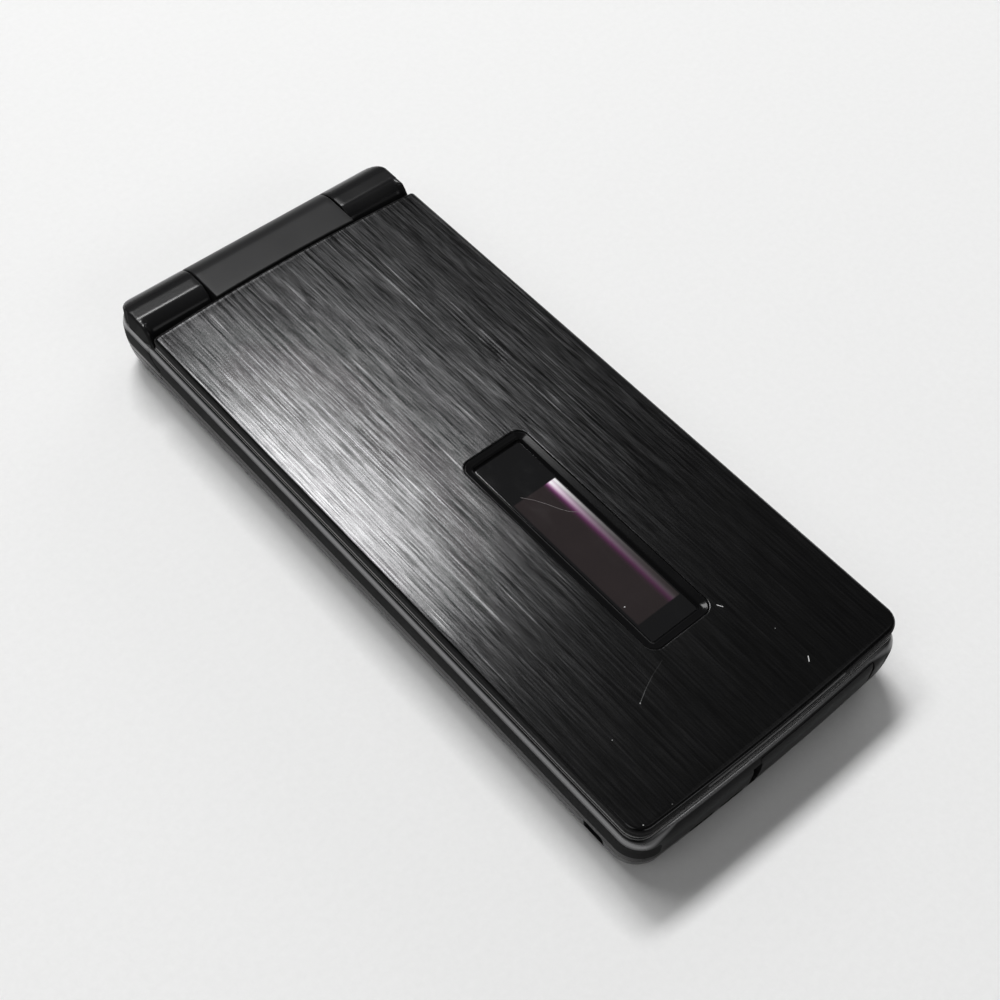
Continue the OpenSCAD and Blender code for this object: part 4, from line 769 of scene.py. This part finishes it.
def cap_field(x, y, z, inner):
    """Distance-like field of a corner cap, negative inside, for |x| beyond inner."""
    out = np.abs(x)
    turn = np.degrees(np.arctan2(z - AXIS_Z, y - AXIS_Y)) % 360
    brow = 0.4 * smooth(turn, 80, 104) + 0.2 * smooth(turn, 112, 135) - 0.6 * smooth(turn, 158, 176)
    drum = np.hypot(y - AXIS_Y, np.maximum(z - AXIS_Z, 0)) - BARREL - brow
    drum = round_both(drum, z - TOP + 0.001, 0.14)
    hollow = CHEEK_R - np.hypot(y - CHEEK_Y, z - CHEEK_Z)
    cheek = np.maximum.reduce([CHEEK_Y + 0.02 - y, y - 49, z - CHEEK_Z, hollow, 22.82 - out])
    flare = 1.2 * smooth(out, 23.1, 24.4)
    wing = np.hypot(y - AXIS_Y, z - AXIS_Z) - BARREL - flare
    wing = np.maximum.reduce([wing, y - 54, 9.0 - z, z - 12.62])
    body = np.minimum.reduce([drum, cheek, wing])
    in_by = BELLY * (1 - np.sqrt(np.clip(1 - (1 - np.minimum(z, WIDE) / WIDE) ** 2, 0, 1)))
    in_by += 0.3 * ((np.clip(z, WIDE, DECK) - WIDE) / (DECK - WIDE)) ** 2
    qx, qy = out - (SIDE - in_by - BASE_R), y - (END - in_by - BASE_R)
    side = np.hypot(np.maximum(qx, 0), np.maximum(qy, 0)) + np.minimum(np.maximum(qx, qy), 0) - BASE_R
    f = round_both(body, side, 0.45)
    f = round_both(f, inner - out, 0.22)
    return round_both(f, SEAM + 0.03 - z, 0.06)


def corner_cap(sign, inner, name, node):
    """Star-shaped shell about a line just under the hinge axis, found ray by ray."""
    from_end = [0.001, 0.02, 0.05, 0.09, 0.14, 0.2, 0.3, 0.42, 0.56, 0.75, 1.0, 1.4, 1.9, 2.14, 2.2, 2.6,
                3.2, 4.0, 5.0]
    from_inner = [4.0, 2.4, 1.0, 0.22, 0.15, 0.09, 0.045, 0.015, 0.001]
    centre_z, reach = 7.7, 10.0
    turn = np.radians(np.linspace(0, 360, 160, endpoint=False))
    rings = []
    for x in [SIDE - d for d in from_end] + [inner + d for d in from_inner]:
        low, high = np.zeros_like(turn), np.full_like(turn, reach)
        for _ in range(40):
            mid = (low + high) / 2
            y, z = AXIS_Y + mid * np.cos(turn), centre_z + mid * np.sin(turn)
            inside = cap_field(np.full_like(mid, x), y, z, inner) < 0
            low, high = np.where(inside, mid, low), np.where(inside, high, mid)
        ring = zip(AXIS_Y + low * np.cos(turn), centre_z + low * np.sin(turn))
        rings.append([(sign * x, y, z) for y, z in ring])
    cap = faced(Form().sections(rings).object(), MATT_LOW, MATT_HIGH, cheek=9.75)
    piece(cap, name, "base", [CAP, MATT], node, 40)


# ------------ base
def base_body(z0, z1, soft0=0.0, soft1=0.0):
    """Levels of the base's outside from z0 to z1 with rounded lower and upper edges."""
    low = [(z0 + drop, c) for drop, c in reversed(edge(soft0, 3))] if soft0 else [(z0, 0.0)]
    high = [(z1 - drop, c) for drop, c in edge(soft1, 5)] if soft1 else [(z1, 0.0)]
    inner = [(float(z), 0.0) for z in np.linspace(low[-1][0], high[0][0], 14)[1:-1]]
    return [(z, base_plan(z, c)) for z, c in low + inner + high]


def knuckle_slot():
    """What the knuckle takes out of both casings."""
    return brick((CAP_L, DECK_END, 2.7), (CAP_R, FAR_Y, 14))


def hinge_tools():
    """What the corner caps and the knuckle take out of the upper casing."""
    gap = 0.06
    r, y = BARREL + gap, CHEEK_Y - gap
    drum = [(AXIS_Y - r, 4.0)] + arc(AXIS_Y, AXIS_Z, r, 180, 90, 40) + [(FAR_Y, TOP + 0.5), (FAR_Y, 4.0)]
    cheek = [(y, 4.0)] + arc(y, CHEEK_Z, CHEEK_R, -90, -2, 14) + [(50.0, 9.15), (50.0, 4.0)]
    end = brick((-FAR_X, 57.5, 4.0), (FAR_X, FAR_Y, 14))
    return [bar(drum, -FAR_X, CAP_L + 0.05), bar(drum, CAP_R - 0.05, FAR_X), knuckle_slot(),
            bar(cheek, -FAR_X, -22.75), bar(cheek, 22.75, FAR_X), end]


def contact_slots():
    return [brick((x, TIP - 1, 3.4), (x + CONTACT_W, TIP + 1.4, 4.6)) for x in CONTACTS_X]


def nail_notch():
    """Notch at the free end of the port cover, for a fingernail."""
    return brick((PORT_L - 1.6, TIP - 1, 3.3), (PORT_L + 0.02, TIP + 1.5, 8.5))


def port_end_y():
    """Where the port cover's round end has its centre, which is its pivot."""
    return TIP + TIP_BOW * (PORT_R / (SIDE - BASE_R)) ** 2 + PORT_END_R


def door_plan():
    y = port_end_y()
    return ([(PORT_L, TIP - 1), (PORT_R, TIP - 1)] + arc(PORT_R, y, PORT_END_R, -90, 90, 19)
            + [(PORT_R - 0.4, TIP + PORT_DEPTH), (PORT_L, TIP + PORT_DEPTH)])


def recess_plan(gap):
    """The recess that the port cover closes, and in which its round end turns."""
    y, r = port_end_y(), PORT_END_R + gap
    return ([(PORT_L - gap, TIP - 1), (PORT_R + r, TIP - 1), (PORT_R + r, y)] + arc(PORT_R, y, r, 10, 165, 21)
            + [(PORT_L - gap, TIP + PORT_DEPTH + gap)])


def side_slot(w, h, r, at, x0, x1):
    """Rounded hole through a long side."""
    return bar(pad(w, h, r, at, n=6), x0, x1)


def key_names():
    return [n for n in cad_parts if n.endswith("_key") or n.startswith(("key_", "soft_key"))
            if n not in ("centre_key", "side_key")]


def key_box(node):
    """Middle, width and length of a key's top in the deck."""
    low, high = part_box(node)
    at = ((low.x + high.x) / 2 / MM, (low.y + high.y) / 2 / MM)
    return at, (high.x - low.x) / MM - 0.9, (high.y - low.y) / MM - 0.9


def base_shell():
    """Upper casing: curved sides, deck with the sunk key field, and a hole for each key."""
    form = Form()
    low, high = form.wall(base_body(SEAM + 0.02, DECK, 0.07, 0.16))
    well = lambda cut: plan(WELL_X - cut, WELL_Y0 + cut, WELL_Y1 - cut, WELL_R - cut, WELL_R - cut, n=12, m=2)
    steps = [(DECK - drop, -cut) for drop, cut in reversed(edge(0.15, 4))]
    steps += [(WELL + drop, cut) for drop, cut in edge(0.12, 4)]
    rim, floor = form.wall(stack(well, steps))
    form.fill(high, rim)
    outlines = []
    for name in key_names():
        at, w, l = key_box(name)
        outlines.append(shrinking_pad(w + 0.24, l + 0.24, 1.52, at, 8))
    outlines.append(shrinking_disc(NAV_R + 0.12, NAV_AT, 96))
    tops, ends = hole_walls(form, outlines, WELL, UNDER_DECK, 0.07)
    form.fill(floor, *tops)
    ceiling, foot = form.wall([(UNDER_DECK, HOLLOW), (SEAM + 0.02, HOLLOW)])
    form.fill(ceiling, *ends)
    form.fill(low, foot)
    shell = form.object()
    recess = prism(recess_plan(0.1), SEAM - 0.2, PORT_TOP + 0.1)
    connector_mouth = brick((1.57, TIP, 4.8), (13.88, INNER_TIP + 1, 8.1))
    holes = [side_slot(12.24, 2.44, 1.1, SIDE_KEY_AT, 21, 27), prism(disc(0.5, MIC_AT, 24), 8.0, 11.0)]
    combine(shell, hinge_tools() + [recess, nail_notch(), connector_mouth] + contact_slots() + holes)
    faced(shell, MATT_LOW, MATT_HIGH, tip_middle=False)
    piece(shell, "deck_shell", "base", [SHELL, MATT], "base_frame", 30)


def cover_plan(gap=0.0):
    """The battery cover, which runs out past the tip end."""
    x, y, r = 20.5 + gap, 7.3 + gap, 0.8
    return [(-x, TIP - 2), (x, TIP - 2)] + corner(x - r, y - r, r, 0, 6) + corner(-x + r, y - r, r, 90, 6)


def curled_levels():
    """Levels of the base's outside from the floor up its curled lower edge."""
    heights = [WIDE * (1 - math.cos(t)) for t in np.radians([4, 8, 12, 17, 22, 27, 33, 39, 45, 51])]
    return [(0.0, base_plan(0.0, 0.12)), (0.0, base_plan(0.0))] + [(z, base_plan(z)) for z in heights]


def rear_shell():
    """Lower casing with its curled edge, and the openings on its underside."""
    form = Form()
    top = [(z, base_plan(z, c)) for z, c in ((SEAM - 0.1, 0.0), (SEAM - 0.06, 0.015), (SEAM - 0.03, 0.07))]
    low, high = form.wall(curled_levels() + top)
    rim, floor = form.wall([(SEAM - 0.03, HOLLOW), (INSIDE, HOLLOW)])
    form.fill(high, rim)
    form.cap(floor)
    form.cap(low)
    shell = form.object()
    through = -1, 3
    battery_well = prism(pad(34.3, 49.3, 1, (0, -22.35)), 1.0, 3.0)
    tools = [knuckle_slot(), prism(cover_plan(0.1), -1, FLOOR), battery_well]
    tools += [prism(disc(4.25, CAMERA_AT, 64), -1, 0.6), prism(disc(3.4, CAMERA_AT, 64), *through)]
    for i in range(-2, 3):
        at = (SPEAKER_AT[0] + 2 * i, SPEAKER_AT[1])
        tools.append(prism(pad(0.9, 8 * (1 - 0.15 * abs(i)), 0.42, at, n=6), *through))
    tools += [prism(disc(1.35, at, 48), -1, 1.65) for at in BASE_SCREWS]
    tools += [side_slot(3.7, 3.0, 0.5, (STRAP_Y, STRAP_Z), -26, -22.2), *contact_slots(), nail_notch()]
    combine(shell, tools)
    piece(shell, "rear_shell", "base", REAR, "rear_case", 30)


def cut_out(levels, outline, z0, z1, soft):
    """What a body through the levels has inside an outline, with its edges eased."""
    return eased(combine(Form().block(levels).object(), [prism(outline, z0, z1)], "INTERSECT"), soft)


def battery_door():
    levels = [level for level in curled_levels() if level[0] < 1.15] + [(1.2, base_plan(1.2))]
    door = cut_out(levels, cover_plan(), -1, 3, 0.08)
    piece(door, "battery_door", "battery_cover", COVER, "battery_cover", 30)


def port_door():
    door = cut_out(base_body(SEAM + 0.05, PORT_TOP), door_plan(), 3, 10, 0.07)
    faced(door, MATT_LOW, MATT_HIGH, tip_middle=False)
    piece(door, "port_door", "port_cover", [SHELL, MATT], "port_cover", 32)


def strap_pin():
    pin = prism(disc(0.5, (STRAP_X, STRAP_Y), 32), 1.0, 4.8)
    piece(pin, "strap_pin", "base", DARK_STEEL, "strap_bar", 32)


def camera_glass():
    levels = [(0.57, 4.2), (0.12, 4.2), (0.05, 4.14), (0.02, 4.04), (0.02, 3.6), (0.07, 3.5), (0.07, 2.0)]
    glass = Form().block(stack(lambda r: disc(r, CAMERA_AT, 64), levels)).object()
    piece(glass, "camera_glass", "base", OPTIC, "camera_window")


# ------------ keys
def glyph(text, height, at, z):
    """Plain character as flat faces lying at height z, centred on at."""
    capital = 0.7
    curve = bpy.data.curves.new("glyph", "FONT")
    curve.body, curve.size, curve.resolution_u = text, 1.0, 4
    obj = placed("glyph", curve)
    mesh = shown(obj)
    bpy.data.objects.remove(obj)
    bpy.data.curves.remove(curve)
    points = np.array([v.co[:2] for v in mesh.vertices])
    faces = [tuple(f.vertices) for f in mesh.polygons]
    bpy.data.meshes.remove(mesh)
    points -= (points.min(0) + points.max(0)) / 2
    points *= height / capital
    return [(x, y, z) for x, y in moved(points, at)], faces


def flat(points, z):
    return [(x, y, z) for x, y in points], [tuple(range(len(points)))]


def handset(at, z, turn):
    """Telephone receiver as an outline."""
    back, front = arc(0, -1.1, 2.2, 22, 158, 12), arc(0, -1.1, 1.5, 135, 45, 12)
    ear = [(2.3, -0.75), (2.15, -1.05), (1.25, -1.05), (1.05, -0.8)]
    shape = back + [(-x, y) for x, y in ear] + front + ear[::-1]
    return flat(turned(shape, turn, at, 0.85), z)


def printed(obj, marks):
    """Adds flat marks to obj as faces of its second material."""
    bm = bmesh.new()
    bm.from_mesh(obj.data)
    for verts, faces in marks:
        made = [bm.verts.new((x * MM, y * MM, z * MM)) for x, y, z in verts]
        for f in faces:
            face = bm.faces.new([made[i] for i in f])
            face.normal_update()
            if face.normal.z < 0:
                face.normal_flip()
            face.material_index = 1
    bm.to_mesh(obj.data)
    bm.free()
    return obj


def key_shape(outline):
    """A key from its flange under the deck to its crowned top."""
    levels = [(KEY_FOOT, -0.45), (KEY_LIP, -0.45), (KEY_LIP, -0.02), (KEY_LIP + 0.02, 0.0)]
    levels += [(KEY_TOP - KEY_CROWN - drop, cut) for drop, cut in edge(0.22, 5)]
    for t in (0.25, 0.5, 0.75, 1.0):
        levels.append((KEY_TOP - KEY_CROWN + KEY_CROWN * t * (2 - t), 0.22 + 1.7 * t))
    return Form().block(stack(outline, levels))


def key_marks(name, at, z):
    """The flat marks on a key, and their material."""
    signs = {"key_star": "*", "key_hash": "#", "clear_key": "C"}
    x, y = at
    if name == "call_key":
        return [handset((x, y - 0.1), z, math.radians(38))], GREEN
    if name == "end_key":
        return [handset((x, y + 0.3), z, 0.0)], RED
    if name.startswith("soft_key"):
        return [flat(pad(3.2, 0.55, 0.25, at, 4), z)], LEGEND
    text = signs.get(name, name.split("_")[1][:1])
    marks = [glyph(text, 4.6 if text == "*" else 3.1, at, z)]
    if name == "key_5":
        marks.append(flat(pad(1.6, 0.3, 0.15, (x, y - 2.45), 4), z))
    return marks, LEGEND


def keypad():
    for name in key_names():
        at, w, l = key_box(name)
        cap = key_shape(shrinking_pad(w, l, 1.4, at, 8, slope=0.8)).object()
        marks, ink = key_marks(name, at, KEY_TOP + 0.006)
        piece(printed(cap, marks), name + "_top", name, [KEYS, ink], name)


def nav_wheel():
    """Dished ring with an arrow on each side."""
    levels = [(KEY_FOOT, 9.45), (KEY_LIP, 9.45), (KEY_LIP, 9.02), (8.3, NAV_R), (9.2, NAV_R), (9.32, 8.97),
              (9.42, 8.88), (9.48, 8.72), (KEY_TOP, 8.5), (9.49, 7.6), (9.42, 6.6), (9.36, 5.6), (9.36, 4.9),
              (9.42, 4.3), (9.41, 4.15), (9.34, 4.05), (9.2, 4.02), (KEY_FOOT, 4.02)]
    wheel = Form().tube(stack(lambda r: disc(r, NAV_AT, 128), levels)).object()
    arrow = [(-0.55, 6.6), (0.55, 6.6), (0.0, 7.22)]
    marks = [flat(turned(arrow, quarter * math.pi / 2, NAV_AT), 9.44) for quarter in range(4)]
    piece(printed(wheel, marks), "nav_wheel", "nav_ring", [RING, LEGEND], "nav_ring")


def centre_button():
    levels = [(KEY_FOOT, CENTRE_R), (9.2, CENTRE_R), (9.33, 3.86), (9.41, 3.76), (9.45, 3.6), (9.44, 2.6),
              (9.42, 1.4), (9.41, 0.6)]
    hub = Form().block(stack(lambda r: disc(r, NAV_AT, 96), levels)).object()
    dot = flat(disc(0.55, NAV_AT, 24), 9.432)
    piece(printed(hub, [dot]), "centre_button", "centre_key", [KEYS, LEGEND], "centre_key")


def side_button():
    low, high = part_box("side_key")
    x0, x1 = low.x / MM, high.x / MM
    levels = [(x0, 0.45, 1.05), (x0 + 0.5, 0.45, 1.05), (x0 + 0.5, 0.0, 1.05)]
    levels += [(x1 - drop, -cut, 1.05 - cut * 0.9) for drop, cut in edge(0.3, 6)] + [(x1, -0.45, 0.6)]
    outline = lambda grow, r: pad(12 + 2 * grow, 2.2 + 2 * grow, r, SIDE_KEY_AT)
    side = Form().sections([[(x, y, z) for y, z in outline(grow, r)] for x, grow, r in levels])
    piece(side.object(), "side_button", "side_key", KEYS, "side_key")


def dress_inner_parts():
    """Finishes for the CAD solids that stay as they are."""
    finishes = [(PANEL, "sub_display main_display"), (REAR, "earpiece camera_module loudspeaker"),
                (STEEL, "lid_screws lid_magnet hinge_can hinge_shaft shield_cans io_connector"),
                (STEEL, "vibration_motor microphone"), (DARK_STEEL, "hinge_bush base_screws"),
                (RIBBON, "hinge_flex"), (battery_sleeve(), "battery"), (GOLD, "battery_contacts"),
                (circuit(), "main_board"), (SILICONE, "keypad_sheet"),
                # Dark bronze on the charge contacts is painted shade: they sit deep in their pocket.
                (metal("contact", (0.06, 0.045, 0.028), 0.4), "charge_contacts")]
    for material, names in finishes:
        for name in names.split():
            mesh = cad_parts[name].data
            if mesh.materials:
                mesh.materials[0] = material
            else:
                mesh.materials.append(material)


# ------------ the part
lid_panel()
window()
lid_middle()
lid_inside()
lid_fittings()
knuckle()
corner_cap(-1, -CAP_L, "left_corner_cap", "left_hinge_cap")
corner_cap(1, CAP_R, "right_corner_cap", "right_hinge_cap")
base_shell()
rear_shell()
battery_door()
port_door()
strap_pin()
camera_glass()
keypad()
nav_wheel()
centre_button()
side_button()
dress_inner_parts()


# ------------ floor, lamps, camera
def floor():
    """Pale paper that lies just under the part."""
    reach = 2500
    form = Form()
    form.cap(form.ring([(-reach, -reach), (reach, -reach), (reach, reach), (-reach, reach)], 0.0))
    obj = form.object("floor")
    obj.location.z = -0.0002
    f = Finish("paper", Roughness=0.75, Specular_IOR_Level=0.3)
    slow = f.noise(0.004, 2.0, 0.5)
    fibre = f.range(f.noise(0.9, 5.0, 0.75), 0.3, 0.7, 0.0, 0.6)
    f.set(Base_Color=f.mix(f.plus(fibre, f.times(slow, 0.4)), (0.82, 0.82, 0.817), (0.87, 0.87, 0.868)))
    f.bump(f.noise(1.2, 3.0), 0.03)
    obj.data.materials.append(f.material)


def lamp(name, at, aim, size, power):
    """Rectangular lamp; places and sizes in millimetres, power in watts."""
    data = bpy.data.lights.new(name, "AREA")
    data.energy, data.shape = power, "RECTANGLE"
    data.size, data.size_y = size[0] * MM, size[1] * MM
    obj = placed(name, data)
    obj.location = Vector(at) * MM
    obj.rotation_euler = (Vector(at) - Vector(aim)).to_track_quat("Z", "Y").to_euler()


def surroundings(overhead, horizon, seen):
    """Dim studio, paler at the horizon and dark in front; past the floor the camera sees a plain backdrop."""
    world = bpy.data.worlds.new("studio")
    world.use_nodes = True
    bpy.context.scene.world = world
    g = Graph(world.node_tree)
    _, y, z = g.add("SeparateXYZ", [g.add("TexCoord").outputs["Generated"]]).outputs
    strength = g.times(g.range(z, 0.02, 0.42, horizon, overhead, True), g.range(y, -0.7, -0.1, 0.32, 1.0))
    room = g.add("Background", Color=(1, 1, 1), Strength=strength).outputs[0]
    backdrop = g.add("Background", Color=(seen, seen, seen)).outputs[0]
    camera_ray = g.add("LightPath").outputs["Is Camera Ray"]
    both = g.add("MixShader", [camera_ray, room, backdrop]).outputs[0]
    g.plug(g.tree.nodes["World Output"].inputs["Surface"], both)


floor()
surroundings(0.12, 0.5, 0.82)
lamp("key", (482, 1178, 2000), (482, 1178, 0), (764, 443), 36.5)
lamp("back", (-260, 1200, 2000), (-260, 1200, 0), (1000, 600), 22.0)
lamp("ceiling", (1075, 60, 2000), (1075, 60, 0), (650, 200), 0.3)
lamp("front", (200, -1500, 900), (0, 0, 0), (1200, 500), 3.0)
lamp("side", (750, 380, 260), (0, 0, 0), (500, 260), 0.9)
lamp("fill", (-560, -60, 720), (0, 0, 0), (450, 450), 0.7)

camera = bpy.data.cameras.new("camera")
camera.lens, camera.sensor_width = 61.55, 36.0
camera.clip_start, camera.clip_end = 0.01, 20.0
eye = placed("camera", camera)
eye.matrix_world = Matrix(((0.7528, 0.5126, -0.4130, -0.1020), (-0.6565, 0.6300, -0.4148, -0.1055),
                           (0.0476, 0.5835, 0.8107, 0.2045), (0, 0, 0, 1)))
bpy.context.scene.camera = eye
bpy.context.scene.view_settings.view_transform = "Standard"
